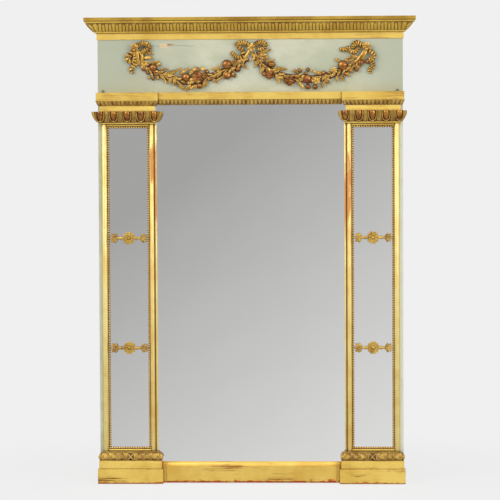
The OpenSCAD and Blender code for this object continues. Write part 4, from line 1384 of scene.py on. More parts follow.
@dataclass
class EggBand:
    """One capital's band: leaning eggs in their husks, fluted tongues between, leaves on the corners."""

    shop: Workshop
    side: Side
    centre_x: float = 460.5
    foot_w: float = 218.0
    foot_out: float = 24.0
    flare: float = 20.0
    low_z: float = 1364.0
    height: float = 40.0
    pitch: float = 51.0
    egg: Point = (11.6, 6.6, 23.5)
    egg_down: float = 14.5
    rim_gap: float = 3.2
    rim_r: float = 2.0
    tongue_half_w: float = 8.4
    side_tongue_half_w: float = 5.0
    flute: float = 2.4
    crown: float = 2.8
    core_behind: float = 1.5
    thickness: float = 1.6
    face_y: float = 8.0
    right_narrower: float = 3.0
    right_flatter: float = 3.0

    def build(self) -> None:
        """Carves the band and fixes it in place of the model's."""
        finish = self.shop.finishes
        if self.side is Side.RIGHT:
            self.centre_x -= self.right_narrower / 2
            self.foot_w -= self.right_narrower
            self.flare -= self.right_flatter
        side_mid = self.face_y - self.foot_out / 2 - 6
        eggs, husks, tongues = [], [], []
        for count in range(-2, 3):
            eggs.append(self._egg("front", count * self.pitch))
            husks.append(self._husk("front", count * self.pitch))
            if count < 2:
                tongues.append(self._tongue("front", (count + 0.5) * self.pitch, self.tongue_half_w))
        for face in ("left", "right"):
            eggs.append(self._egg(face, side_mid))
            husks.append(self._husk(face, side_mid))
            tongues.append(self._corner(face))
            tongues.append(self._tongue(face, self.face_y - 5, self.side_tongue_half_w))
        word = self.side.word
        # The core shows between the eggs in the dark ground finish: painted shade in the hollows
        ground = joined(f"egg_band_ground_{word}", [self._core()], 30)
        self.shop.fit(ground, finish.painted_shade_ground, "gilt_wood", [f"egg_band_{word}"])
        self.shop.fit(joined(f"eggs_{word}", eggs, 60), finish.egg, "gilt_wood")
        self.shop.fit(joined(f"husks_{word}", husks, 40), finish.carved, "gilt_wood")
        self.shop.fit(joined(f"tongues_{word}", tongues, 40), finish.torus, "gilt_wood")

    def _flare(self, z: float) -> float:
        """How far the band flares out at a height over the floor."""
        radius = (self.flare**2 + self.height**2) / (2 * self.flare)
        down = max(0.0, min(self.height, self.low_z + self.height - z))
        return self.flare - radius + math.sqrt(radius**2 - down**2)

    def _on_band(self, face: str, along: float, z: float, lift: float) -> Vector:
        """A point over the band's surface.

        Args:
            face: front, left or right.
            along: Place along the face in mm, from the middle on the front and as Y on the ends.
            z: Height over the floor.
            lift: Height over the surface.

        Returns:
            The point in metres.
        """
        reach = self._flare(z) + lift
        centre = self.side.value * self.centre_x
        if face == "front":
            return Vector((centre + along, self.face_y - self.foot_out - reach, z)) * MM
        turn = 1 if face == "right" else -1
        return Vector((centre + turn * (self.foot_w / 2 + reach), along, z)) * MM

    def _core(self) -> bpy.types.Object:
        """The flared block that the eggs are carved on."""
        centre = self.side.value * self.centre_x
        core = block(
            "band_core",
            (centre - self.foot_w / 2, self.face_y - self.foot_out, self.low_z),
            (centre + self.foot_w / 2, self.face_y, self.low_z + self.height),
        )
        pick([core])
        bpy.ops.object.mode_set(mode="EDIT")
        bpy.ops.mesh.select_all(action="SELECT")
        bpy.ops.mesh.subdivide(number_cuts=9)
        bpy.ops.object.mode_set(mode="OBJECT")

        def lean(p: Vector) -> Vector:
            """Leans the front and the ends out, a little behind the carving."""
            spread = self._flare(p.z / MM) - self.core_behind
            x = centre * MM + (p.x - centre * MM) * (1 + spread / (self.foot_w / 2))
            y = self.face_y * MM - (self.face_y * MM - p.y) * (1 + spread / self.foot_out)
            return Vector((x, y, p.z))

        return reshape(core, lean)

    def _egg(self, face: str, along: float) -> bpy.types.Object:
        """One egg: cut flat on top and pointed below."""
        piece = ball("egg", (0, 0, 0), (1, 1, 1), 16, 12)
        wide, deep, tall = self.egg
        top = self.low_z + self.height
        middle = top - self.egg_down

        def place(p: Vector) -> Vector:
            """Shapes and places one point."""
            x, y, z = p.x / MM, p.y / MM, p.z / MM
            narrow = 1.0 if z > 0 else 1 - 0.55 * (-z) ** 1.6
            height = min(middle + z * tall, top - 0.2)
            turn = -1 if face == "left" else 1
            return self._on_band(face, along + turn * x * wide * narrow, height, -y * deep * narrow - 1.0)

        return face_out(reshape(piece, place))

    def _husk(self, face: str, along: float) -> bpy.types.Object:
        """The raised rim that holds an egg."""
        wide, _, tall = self.egg
        top = self.low_z + self.height
        points = []
        for step in range(9):
            angle = math.pi * step / 8
            x = -math.cos(angle) * (wide + self.rim_gap)
            z = top - 12 - math.sin(angle) ** 0.8 * (tall + 2.5)
            z = top - 0.5 if step in (0, 8) else z
            points.append(self._on_band(face, along + x, max(z, self.low_z + 1), self.rim_r))
        return strand("husk", [tuple(p / MM) for p in points], self.rim_r, steps=3)

    def _tongue(self, face: str, along: float, half_w: float) -> bpy.types.Object:
        """One fluted tongue, wider at its foot."""
        # Dark in the flutes: soiling and painted shade
        piece = with_dirt_and_shade(sheet("tongue", 18, 8), lambda p: 0.85 - 1.3 * abs(math.sin(1.5 * math.pi * (p.x + 1))))
        top = self.low_z + self.height

        def place(p: Vector) -> Vector:
            """Flutes and places one point."""
            z = self.low_z + 1.5 + p.z * (top - self.low_z - 1.6)
            spread = half_w * (1.12 - 0.2 * p.z)
            flutes = self.flute * abs(math.sin(1.5 * math.pi * (p.x + 1)))
            crown = self.crown * (1 - p.x * p.x) ** 0.5 * (0.6 + 0.4 * p.z)
            turn = -1 if face == "left" else 1
            return self._on_band(face, along + turn * p.x * spread, z, crown + flutes - 1.2)

        return moulded(piece, place, self.thickness)

    def _corner(self, face: str) -> bpy.types.Object:
        """The leaf that wraps a front corner."""
        # Dark in the flutes: soiling and painted shade
        piece = with_dirt_and_shade(sheet("corner_leaf", 12, 8), lambda p: 0.8 - 1.2 * abs(math.sin(1.5 * math.pi * p.x)))
        turn = 1 if face == "right" else -1
        centre = self.side.value * self.centre_x
        top = self.low_z + self.height

        def place(p: Vector) -> Vector:
            """Folds one point round the corner."""
            z = self.low_z + 1 + p.z * (top - self.low_z - 1.2)
            reach = self._flare(z) + 1.2 + 1.6 * abs(math.sin(1.5 * math.pi * p.x)) * (0.4 + 0.6 * p.z)
            half_w = 5.5 + 4.0 * math.sin(math.pi * min(1.0, p.z * 0.62))
            x = self.foot_w / 2 + reach - max(0.0, -p.x) * half_w
            y = self.face_y - self.foot_out - reach + max(0.0, p.x) * half_w
            return Vector((centre + turn * x, y, z)) * MM

        return moulded(piece, place, self.thickness)


@dataclass
class PearlBeading:
    """The pearls round one pilaster's plates, in place of the model's plain strips."""

    shop: Workshop
    side: Side
    in_x: float = 380.0
    out_x: float = 540.0
    low_z: float = 129.0
    high_z: float = 1349.0
    glass_y: float = 5.0
    width: float = 8.0
    strip_out: float = 1.6
    pitch: float = 8.9
    pearl_size: Point = (3.9, 3.6, 3.7)
    pearl_out: float = 2.4

    def build(self) -> None:
        """Turns the pearls, lays them in rows and fixes them with their strips."""
        turn = self.side.value
        rows: list[tuple[bpy.types.Object, bpy.types.Object]] = []
        half = self.width / 2
        for x in (self.in_x + half, self.out_x - half):
            rows.append(self._row((turn * x, self.low_z + half), (turn * x, self.high_z - half)))
        for z in (self.low_z + half, self.high_z - half):
            ends = sorted((turn * (self.in_x + self.width + half), turn * (self.out_x - self.width - half)))
            rows.append(self._row((ends[0], z), (ends[1], z)))
        word = self.side.word
        # The strips take the dark ground finish: painted shade between the pearls
        strips = joined(f"pearl_grooves_{word}", [strip for _, strip in rows], 30)
        self.shop.fit(strips, self.shop.finishes.painted_shade_ground, "gilt_wood", [f"bead_strips_{word}"])
        self.shop.fit(joined(f"pearls_{word}", [row for row, _ in rows], 60), self.shop.finishes.pearl, "gilt_wood")

    def _row(
        self, start: tuple[float, float], end: tuple[float, float]
    ) -> tuple[bpy.types.Object, bpy.types.Object]:
        """One row of pearls and its strip, from one X and Z place to another."""
        first, last = Vector((start[0], 0, start[1])), Vector((end[0], 0, end[1]))
        length = (last - first).length
        count = round(length / self.pitch) + 1
        step = (last - first) / (count - 1)
        half = self.width / 2
        pearl = ball("pearl", (first.x, self.glass_y - self.pearl_out, first.z), self.pearl_size, 10, 6)
        repeated(pearl, step * MM, count)
        low = (min(start[0], end[0]) - half, self.glass_y - self.strip_out, min(start[1], end[1]) - half)
        high = (max(start[0], end[0]) + half, self.glass_y, max(start[1], end[1]) + half)
        return pearl, block("strip", low, high)


@dataclass
class TorusCarving:
    """Leaves and crossed ribbons carved on one base's torus, all round its three faces."""

    shop: Workshop
    side: Side
    in_x: float = 338.0
    out_x: float = 575.0
    out: float = 35.0
    face_y: float = 8.0
    low_z: float = 88.0
    radius: float = 13.5
    relief: float = 3.6
    tie: float = 15.0
    leaf_pitch: float = 24.8
    # Place round the torus, shift along it and lean of each row of leaves
    leaf_rows: tuple[Point, ...] = ((0.0, 0.0, 0.0), (10.5, 0.5, 5.0), (-10.5, 0.5, -5.0))
    wrap: float = 168.0
    thickness: float = 1.0
    front_faces: int = 168
    side_faces: int = 24

    def build(self) -> None:
        """Carves the three faces and fixes them."""
        rows = [self._face("front", self.front_faces)]
        rows += [self._face(face, self.side_faces) for face in ("left", "right")]
        piece = joined(f"torus_carving_{self.side.word}", rows, 40)
        self.shop.fit(piece, self.shop.finishes.torus, "gilt_wood")

    def _face(self, face: str, across: int) -> bpy.types.Object:
        """One face of the carving.

        Args:
            face: front, left or right.
            across: Faces along it.

        Returns:
            The carved sheet.
        """
        piece = sheet("torus_face", across, 26)
        centre = self.side.value * (self.in_x + self.out_x) / 2
        half_w = (self.out_x - self.in_x) / 2 - self.radius
        depth = self.out - self.radius

        def where(p: Vector) -> tuple[float, float]:
            """A point's distance from the middle and its angle round the torus."""
            run = p.x * half_w if face == "front" else half_w + (p.x + 1) / 2 * depth
            return run, (p.z - 0.5) * math.radians(self.wrap)

        def place(p: Vector) -> Vector:
            """Wraps and carves one point."""
            run, angle = where(p)
            reach = self.radius * math.cos(angle) + self._carved(run, angle) * math.cos(angle * 0.9) + 0.1
            z = self.low_z + self.radius + (self.radius + self._carved(run, angle)) * math.sin(angle)
            if face == "front":
                return Vector((centre + p.x * (half_w + reach), self.face_y - depth - reach, z)) * MM
            turn = -1 if face == "left" else 1
            away = (p.x + 1) / 2 if face == "right" else (1 - p.x) / 2
            y = self.face_y - (1 - away) * (depth + reach)
            return Vector((centre + turn * (half_w + reach), y, z)) * MM

        # Dark where the carving is low: soiling and painted shade between the leaves
        with_dirt_and_shade(piece, lambda p: 1.08 - 1.5 * self._carved(*where(p)) / self.relief)
        return moulded(piece, place, self.thickness)

    def _carved(self, run: float, angle: float) -> float:
        """The height of the carving at a distance from the middle and an angle round the torus."""
        length = abs(run)
        round_it = angle * self.radius
        if length < self.tie:
            crossed = max(hump(length - abs(round_it) * 0.8, 0, 3.2), hump(length, self.tie - 2, 2.6))
            return self.relief * (0.05 + 0.95 * crossed)
        height = 0.03
        for row, shift, lean in self.leaf_rows:
            along = ((length - self.tie) / self.leaf_pitch + shift) % 1.0
            away = round_it - row - lean * (along - 0.5)
            half_w = 7.0 * math.sin(math.pi * (0.14 + 0.86 * along)) ** 0.7
            if abs(away) < half_w:
                dome = math.sqrt(1 - (away / half_w) ** 2)
                rib = 1 - 0.35 * hump(away, 0, 1.3)
                height = max(height, (0.35 + 0.65 * dome) * (0.45 + 0.55 * along) * rib)
        return self.relief * height


@dataclass
class RosetteBar:
    """The bar over one plate joint: a layered rosette, two balusters and two bunches of leaves."""

    shop: Workshop
    side: Side
    place: str
    z: float
    x: float = 460.0
    glass_y: float = 5.0
    radius: float = 23.0
    boss: float = 7.5
    arm: float = 4.6
    ball_x: float = 29.0
    leaf_foot: float = 47.0
    disc_share: float = 0.9
    # Angle, length and tilt of each leaf in a bunch
    bunch: tuple[Point, ...] = ((0, 0.98, 0), (34, 0.92, 12), (-34, 0.92, -12), (66, 0.72, 20), (-66, 0.72, -20))

    def build(self) -> None:
        """Carves the bar and fixes it in place of the model's."""
        centre = (self.side.value * self.x, self.glass_y, self.z)
        parts = [self._disc(centre)] + self._petals(centre, 10, 0.78, 0.30, 4.4)
        parts += self._petals(centre, 8, 0.48, 0.24, 6.2, 22.5)
        parts.append(ball("boss", (centre[0], centre[1] - 7.5, centre[2]), (self.boss, 6.0, self.boss), 14, 8))
        for turn in (-1, 1):
            parts += self._arm(centre, turn)
        word = f"{self.side.word}_{self.place}"
        piece = joined(f"rosette_{word}", parts, 50)
        self.shop.fit(piece, self.shop.finishes.torus, "gilt_wood", [f"rosette_bar_{word}"])

    def _disc(self, centre: Point) -> bpy.types.Object:
        """The rosette's ground, with a rolled edge."""
        half_w = self.radius * self.disc_share
        disc = ball("disc", (centre[0], centre[1] - 1.5, centre[2]), (half_w, 3.4, half_w), 28, 8)
        return reshape(disc, lambda p: Vector((p.x, min(p.y, centre[1] * MM), p.z)))

    def _petals(
        self, centre: Point, count: int, reach: float, half_w: float, out: float, start: float = 0.0
    ) -> list[bpy.types.Object]:
        """One ring of hollowed petals.

        Args:
            centre: The rosette's centre.
            count: How many petals.
            reach: Distance of their middles from the centre, as a share of the radius.
            half_w: Half their width, as a share of the radius.
            out: How far they stand out.
            start: The first one's angle in degrees.

        Returns:
            The petals.
        """
        master = ball("petal", (0, 0, 0), (self.radius * 0.27, 3.0, self.radius * half_w), 12, 8)
        hollow = self.radius * 0.16 * MM

        def scoop(p: Vector) -> Vector:
            """Hollows the petal's middle and lifts its end."""
            dip = 1.8 * MM * math.exp(-((p.x**2 + p.z**2) / hollow**2)) if p.y < 0 else 0.0
            return Vector((p.x, p.y + dip - 0.12 * p.x, p.z))

        reshape(master, scoop)
        petals = wreath(master, (centre[0], centre[1] - out, centre[2]), count, self.radius * reach, start)
        scrapped([master])
        return petals

    def _arm(self, centre: Point, turn: int) -> list[bpy.types.Object]:
        """A baluster and the bunch of leaves at its end."""
        y = centre[1] - 4
        x = centre[0]
        rod = strand("rod", [(x + turn * away, y, centre[2]) for away in (18, 38, 58)], self.arm)
        parts = [rod, ball("bead", (x + turn * self.ball_x, y, centre[2]), (5.0, 6.2, 7.6), 14, 8)]
        for at, size in ((self.ball_x + 8, 5.4), (self.ball_x + 15, 6.6)):
            parts.append(ball("bead", (x + turn * at, y, centre[2]), (2.2, size, size), 12, 8))
        leaf = LeafShape(26, 6.0, 3.2, 2.6).build()
        for angle, length, tilt in self.bunch:
            heading = angle if turn > 0 else 180 - angle
            foot = (x + turn * self.leaf_foot, y + (1.0 if abs(angle) > 50 else 0.0), centre[2])
            parts.append(copied(leaf, set_at(foot, (tilt, -heading, 0), (length, 1, 1))))
        scrapped([leaf])
        return parts


@dataclass(frozen=True)
class LeafShape:
    """A carved leaf that lies along X with its face to -Y."""

    length: float = 30.0
    half_w: float = 6.5
    arch: float = 3.2
    thickness: float = 2.4
    lobes: int = 4

    def build(self) -> bpy.types.Object:
        """Carves the leaf.

        Returns:
            The leaf, with its foot at the origin.
        """
        piece = sheet("leaf", 12, 16)
        with_dirt_and_shade(piece, self._dirt_and_shade)

        def place(p: Vector) -> Vector:
            """Shapes one point."""
            along = p.z
            edge = math.sin(math.pi * min(1.0, 0.06 + along**0.85 * 0.94)) ** 0.8
            teeth = 1 - 0.16 * (along * self.lobes % 1.0) * (1 if 0.1 < along < 0.9 else 0)
            across = p.x * max(0.25, self.half_w * edge * teeth)
            lift = self.arch * math.sin(math.pi * along * 0.92)
            lift += 1.1 * (1 - abs(p.x)) - 1.5 * hump(p.x, 0, 0.16)
            lift -= 0.45 * self._vein(p)
            return Vector((along * self.length, -lift, across)) * MM

        return moulded(piece, place, self.thickness)

    def _dirt_and_shade(self, p: Vector) -> float:
        """Soiling and painted shade along the leaf's edge, rib, foot and side veins."""
        edge, rib = 0.95 * abs(p.x) ** 2.2, 0.8 * hump(p.x, 0, 0.16)
        return max(edge, rib, 0.7 * (1 - p.z) ** 2, 0.55 * self._vein(p))

    def _vein(self, p: Vector) -> float:
        """1 in a side vein and -1 between two."""
        return -math.cos(2 * math.pi * (p.z * self.lobes + 0.9 * abs(p.x)))


class Kind(Enum):
    """What a round thing in a garland is."""

    BERRY = "berry"
    FRUIT = "fruit"
    RIBBED = "ribbed"
    ROSE = "rose"
    BLOSSOM = "blossom"
    BUNCH = "bunch"


@dataclass(frozen=True)
class Round:
    """A fruit, flower or berry: its kind, its middle as X and height over the frieze's foot, its radius."""

    kind: Kind
    x: float
    up: float
    radius: float
    squash: float = 1.0
    turn: float = 0.0
    out: float = 0.0


@dataclass(frozen=True)
class Spray:
    """A leaf from its foot to its tip, each as X and height over the frieze's foot."""

    foot: tuple[float, float]
    tip: tuple[float, float]
    width: float = 10.0
    out: float = 5.0
    tilt: float = 0.0


@dataclass(frozen=True)
class Band:
    """A stem or a ribbon through points, each as X, height over the frieze's foot and height over the board."""

    points: tuple[Point, ...]
    half_w: float = 5.0
    pleats: float = 0.0


@dataclass
class GarlandCarver:
    """Carves garlands and bows from a few kinds of leaf, fruit and ribbon."""

    face_y: float = 8.0
    foot_z: float = 1475.0
    ribbon_thickness: float = 3.0
    masters: dict[object, bpy.types.Object] = field(default_factory=dict)

    def open(self) -> None:
        """Carves one of each kind, 10 mm in radius, and one leaf."""
        self.masters["leaf"] = LeafShape().build()
        self.masters[Kind.BERRY] = ball("berry", (0, 0, 0), (10, 10, 10), 12, 9)
        self.masters[Kind.FRUIT] = self._fruit()
        self.masters[Kind.RIBBED] = self._ribbed()
        self.masters[Kind.ROSE] = self._rose()
        self.masters[Kind.BLOSSOM] = self._blossom()
        self.masters[Kind.BUNCH] = self._bunch()

    def close(self) -> None:
        """Removes the masters."""
        scrapped(self.masters.values())
        self.masters.clear()

    def rounds(self, items: Iterable[Round]) -> list[bpy.types.Object]:
        """Places fruits, flowers and berries."""
        placed = []
        for item in items:
            out = item.out or min(item.radius * 0.75, 10.0)
            where = (item.x, self.face_y - out, self.foot_z + item.up)
            size = (item.radius / 10, min(item.radius, 12.5) / 10, item.radius * item.squash / 10)
            placed.append(copied(self.masters[item.kind], set_at(where, (0, item.turn, 0), size)))
        return placed

    def sprays(self, items: Iterable[Spray]) -> list[bpy.types.Object]:
        """Places leaves."""
        placed = []
        shape = LeafShape()
        for item in items:
            dx, dz = item.tip[0] - item.foot[0], item.tip[1] - item.foot[1]
            length = math.hypot(dx, dz)
            heading = math.degrees(math.atan2(dz, dx))
            where = (item.foot[0], self.face_y - item.out, self.foot_z + item.foot[1])
            size = (length / shape.length, 1.0, item.width / (2 * shape.half_w))
            placed.append(copied(self.masters["leaf"], set_at(where, (item.tilt, -heading, 0), size)))
        return placed

    def foliage(self, core: Band, pitch: float = 10.0) -> list[Spray]:
        """Leaves that cover a stem: they lean to both sides in turn and point to the middle of its length.

        Args:
            core: The stem.
            pitch: Distance from one leaf to the next in mm.

        Returns:
            The leaves.
        """
        knots = [Vector((x, 0, up)) for x, up, _ in core.points]
        spans = len(knots) - 1
        count = round(sum((b - a).length for a, b in zip(knots, knots[1:])) / pitch)
        leaves = []
        for number in range(count):
            at = (number + 0.5) / count * (spans - 0.01)
            here = self._smooth(knots, at)
            along = self._smooth(knots, min(at + 0.05, spans - 1e-6)) - here
            lean = (30 + 12 * math.sin(number * 2.4)) * (1 if number % 2 else -1)
            heading = math.atan2(along.z, along.x) + math.radians(lean) + (math.pi if at > spans / 2 else 0)
            reach = 24 + 5 * math.sin(number * 1.7)
            tip = (here.x + reach * math.cos(heading), here.z + reach * math.sin(heading))
            out = 6.5 + 2.5 * math.sin(number * 3.1)
            leaves.append(Spray((here.x, here.z), tip, 10 + 2 * math.sin(number), out, 14 * math.cos(number * 1.3)))
        return leaves

    def stem(self, band: Band) -> bpy.types.Object:
        """A round stem along a band's points."""
        points = [(x, self.face_y - out, self.foot_z + up) for x, up, out in band.points]
        return strand("stem", points, band.half_w)

    def ribbon(self, band: Band) -> bpy.types.Object:
        """A crowned, pleated ribbon along a band's points."""
        knots = [Vector((x, self.face_y - out, self.foot_z + up)) for x, up, out in band.points]
        spans = len(knots) - 1
        piece = sheet("ribbon", 8, spans * 12)

        def wave(p: Vector) -> float:
            """The pleats: 1 on a crest and -1 between two."""
            return math.cos(2 * math.pi * band.pleats * p.z * spans + 1.6 * p.x) if band.pleats else 0.0

        def place(p: Vector) -> Vector:
            """Puts one point on the ribbon."""
            at = min(p.z * spans, spans - 1e-6)
            here = self._smooth(knots, at)
            ahead = self._smooth(knots, min(at + 0.02, spans - 1e-6))
            behind = self._smooth(knots, max(at - 0.02, 0.0))
            along = (ahead - behind).normalized()
            across = along.cross(Vector((0, 1, 0))).normalized()
            crown = 2.0 * (1 - p.x * p.x)
            ends = min(1.0, 0.55 + 1.2 * min(at, spans - at))
            return (here + across * p.x * band.half_w * ends + Vector((0, -crown - 3.6 * wave(p), 0))) * MM

        # Dark in the pleat valleys and along the edges: soiling and painted shade
        with_dirt_and_shade(piece, lambda p: max(0.85 * abs(p.x) ** 3, 0.9 * (0.5 - 0.5 * wave(p)) if band.pleats else 0.0))
        return moulded(piece, place, self.ribbon_thickness)

    @staticmethod
    def _smooth(knots: Sequence[Vector], at: float) -> Vector:
        """A point on the smooth line through the knots, at a count of knots from the first."""
        index = int(at)
        share = at - index
        a, b = knots[max(index - 1, 0)], knots[index]
        c, d = knots[min(index + 1, len(knots) - 1)], knots[min(index + 2, len(knots) - 1)]
        return 0.5 * (
            2 * b + (c - a) * share + (2 * a - 5 * b + 4 * c - d) * share**2 + (3 * b - a - 3 * c + d) * share**3
        )

    @staticmethod
    def _fruit() -> bpy.types.Object:
        """A smooth round fruit with the dimple of its eye."""
        fruit = ball("fruit", (0, 0, 0), (10, 10, 10), 20, 14)

        def dimple(p: Vector) -> Vector:
            """Presses the eye in, low on the right."""
            away = (p / (10 * MM) - Vector((0.35, -0.8, -0.45))).length
            return p * (1 - 0.16 * math.exp(-((away / 0.2) ** 2)))

        return reshape(fruit, dimple)

    @staticmethod
    def _ribbed() -> bpy.types.Object:
        """A fruit with ribs, as a melon has them, its stalk along X."""
        fruit = ball("ribbed", (0, 0, 0), (10, 10, 10), 28, 14)

        def rib(p: Vector) -> Vector:
            """Presses the furrows in."""
            angle = math.atan2(p.z, -p.y)
            return p * (1 - 0.1 * abs(math.sin(angle * 4)) ** 0.5 * (1 - abs(p.x) / (11 * MM)))

        return reshape(fruit, rib)

    @staticmethod
    def _rose() -> bpy.types.Object:
        """A full rose: rings of cupped petals round a bud."""
        parts = [ball("bud", (0, -4, 0), (3.4, 5.2, 3.4), 12, 8)]
        petal = ball("petal", (0, 0, 0), (3.4, 1.5, 4.2), 12, 8)
        reshape(petal, lambda p: Vector((p.x, p.y - 60 * p.x * p.x - 0.25 * p.x, p.z)))
        for count, away, out, size, start in ((4, 3.6, 5.0, 0.8, 0), (5, 5.6, 3.4, 1.0, 30), (7, 7.4, 1.2, 1.1, 10)):
            parts += wreath(petal, (0, -out, 0), count, away, start, size)
        scrapped([petal])
        parts.append(ball("back", (0, 1, 0), (8.6, 4, 8.6), 16, 8))
        return joined("rose", parts)

    @staticmethod
    def _blossom() -> bpy.types.Object:
        """An open flower: six round petals and a boss."""
        parts = [ball("boss", (0, -5.5, 0), (3.0, 3.0, 3.0), 12, 8), ball("back", (0, 0, 0), (7.5, 5, 7.5), 16, 8)]
        petal = ball("petal", (0, 0, 0), (4.2, 2.2, 3.6), 12, 8)

        def cup(p: Vector) -> Vector:
            """Hollows the petal."""
            return Vector((p.x, p.y + (1.4 * MM if p.y < 0 else 0) * (1 - (p.x / (4.2 * MM)) ** 2), p.z))

        reshape(petal, cup)
        parts += wreath(petal, (0, -3.6, 0), 6, 6.2, 20)
        scrapped([petal])
        return joined("blossom", parts)

    @staticmethod
    def _bunch() -> bpy.types.Object:
        """A bunch of berries, as of grapes."""
        parts = [ball("core", (0, 0, 0), (7.2, 6.5, 7.2), 14, 9)]
        berry = ball("berry", (0, 0, 0), (2.9, 2.9, 2.9), 10, 7)
        for count, away, out in ((1, 0, 7.4), (5, 4.6, 5.8), (9, 7.6, 1.6)):
            parts += wreath(berry, (0, -out, 0), count, away, out * 9, spun=False)
        scrapped([berry])
        return joined("bunch", parts)


@dataclass
class Garlands:
    """The two fruit swags and the three bows that they hang from."""

    shop: Workshop
    carver: GarlandCarver = field(default_factory=GarlandCarver)
    # The dark ground behind each swag's stem, a sheet of painted shade that fills the gaps between leaves: how far
    # it stands out and its half-width, in mm
    shade_ground_out: float = 2.5
    shade_ground_half_w: float = 13.0

    def build(self) -> None:
        """Carves and fixes the swags and bows."""
        self.carver.open()
        self._bow_left()
        self._bow_middle()
        self._bow_right()
        self._swag_left()
        self._swag_right()
        self.carver.close()

    def _fit(
        self,
        node: str,
        bands: Sequence[bpy.types.Object],
        sprays: Sequence[Spray],
        rounds: Sequence[Round],
        ground: Band | None = None,
    ) -> None:
        """Joins one node's carving: ribbons and leaves, fruits and flowers, and the dark ground behind them, a sheet
        of painted shade.
        """
        finish = self.shop.finishes
        golden = [item for item in rounds if item.kind is Kind.BLOSSOM or item.radius < 6.5]
        # A dark sheet of painted shade behind the leaves
        if ground:
            piece = joined(f"{node}_ground", [self.carver.ribbon(ground)], 40)
            self.shop.fit(piece, finish.painted_shade_ground, "carved_gilt")
        parts = list(bands) + self.carver.sprays(sprays) + self.carver.rounds(golden)
        self.shop.fit(joined(f"{node}_leaves", parts, 55), finish.carved, "carved_gilt", [node])
        others = [item for item in rounds if item not in golden]
        if others:
            ripe = joined(f"{node}_fruits", self.carver.rounds(others), 60)
            self.shop.fit(ripe, finish.fruit, "carved_gilt")

    def _bow(self, node: str, ribbons: Iterable[tuple], knot: Round) -> None:
        """Carves one bow: its ribbons, given as rows of Band, and the flower on its knot."""
        self._fit(node, [self.carver.ribbon(Band(*row)) for row in ribbons], [], [knot])

    def _swag(self, node: str, stems: Sequence[Band], sprays: Sequence[Spray], rounds: Sequence[Round]) -> None:
        """Carves one swag.

        Args:
            node: The node that it stands for.
            stems: Its stems; the first runs all along, covered with leaves on a dark ground that is a sheet of
                painted shade.
            sprays: Its other leaves.
            rounds: Its fruits and flowers.
        """
        core = stems[0]
        carved = [self.carver.stem(band) for band in stems]
        ground = Band(tuple((x, up, self.shade_ground_out) for x, up, _ in core.points), self.shade_ground_half_w)
        self._fit(node, carved, [*sprays, *self.carver.foliage(core)], rounds, ground)

    def _bow_left(self) -> None:
        """The left bow."""
        ribbons = (
            (((-426, 168, 6), (-417, 178, 9), (-404, 183, 11), (-389, 182, 11), (-376, 174, 9)), 9.5, 2.2),
            (((-376, 174, 7), (-380, 163, 8), (-393, 159, 9), (-404, 151, 7), (-405, 140, 5)), 8.1, 2.0),
            (((-432, 162, 6), (-444, 146, 10), (-458, 134, 11), (-455, 120, 10), (-443, 116, 8)), 8.8, 1.2),
            (((-443, 116, 7), (-433, 121, 8), (-431, 134, 8), (-437, 143, 6)), 7.4, 1.2),
            (((-430, 162, 9), (-423, 145, 11), (-420, 126, 10), (-421, 106, 7)), 4.4),
            (((-424, 158, 7), (-408, 142, 8), (-405, 124, 8), (-410, 105, 6)), 4.0),
            (((-424, 112, 6), (-434, 102, 7), (-445, 90, 7), (-444, 74, 5)), 7, 1.4),
        )
        self._bow("bow_left", ribbons, Round(Kind.BLOSSOM, -433, 169, 15, out=15))

    def _bow_middle(self) -> None:
        """The middle bow."""
        ribbons = (
            (((0, 172, 7), (-14, 182, 10), (-29, 184, 11), (-43, 181, 10), (-47, 171, 8)), 8.8, 2.0),
            (((-46, 173, 7), (-38, 164, 9), (-28, 158, 8), (-26, 146, 6), (-28, 136, 4)), 6.8, 1.0),
            (((-68, 151, 4), (-60, 140, 6), (-50, 131, 7), (-36, 129, 6), (-20, 131, 4)), 7.4, 1.6),
            (((1, 156, 8), (-6, 144, 8), (-14, 133, 7), (-22, 122, 5)), 4.4),
            (((18, 172, 7), (29, 182, 10), (43, 185, 11), (56, 181, 10), (59, 171, 8)), 8.8, 2.0),
            (((59, 173, 7), (52, 163, 8), (40, 160, 8), (28, 160, 6)), 6.8, 1.6),
        )
        self._bow("bow_middle", ribbons, Round(Kind.BLOSSOM, 7, 167, 15, out=15))

    def _bow_right(self) -> None:
        """The right bow."""
        ribbons = (
            (((433, 170, 7), (417, 175, 9), (403, 182, 10), (391, 176, 9), (386, 164, 7)), 8.8, 1.8),
            (((408, 170, 5), (404, 156, 7), (395, 148, 9), (383, 149, 8), (376, 157, 6)), 7.4, 1.6),
            (((378, 156, 6), (368, 162, 7), (354, 155, 7), (339, 160, 4)), 6.8, 1.8),
            (((434, 156, 9), (424, 140, 10), (411, 124, 9), (400, 110, 7)), 5),
            (((438, 156, 7), (432, 140, 8), (424, 125, 7), (418, 112, 5)), 4.4),
            (((443, 156, 7), (456, 147, 10), (465, 134, 10), (458, 122, 8), (446, 121, 6)), 8.1, 1.6),
            (((448, 117, 5), (459, 107, 6), (461, 94, 7), (452, 84, 6), (449, 70, 4)), 7, 1.8),
        )
        self._bow("bow_right", ribbons, Round(Kind.BLOSSOM, 439, 168, 15.5, out=15))

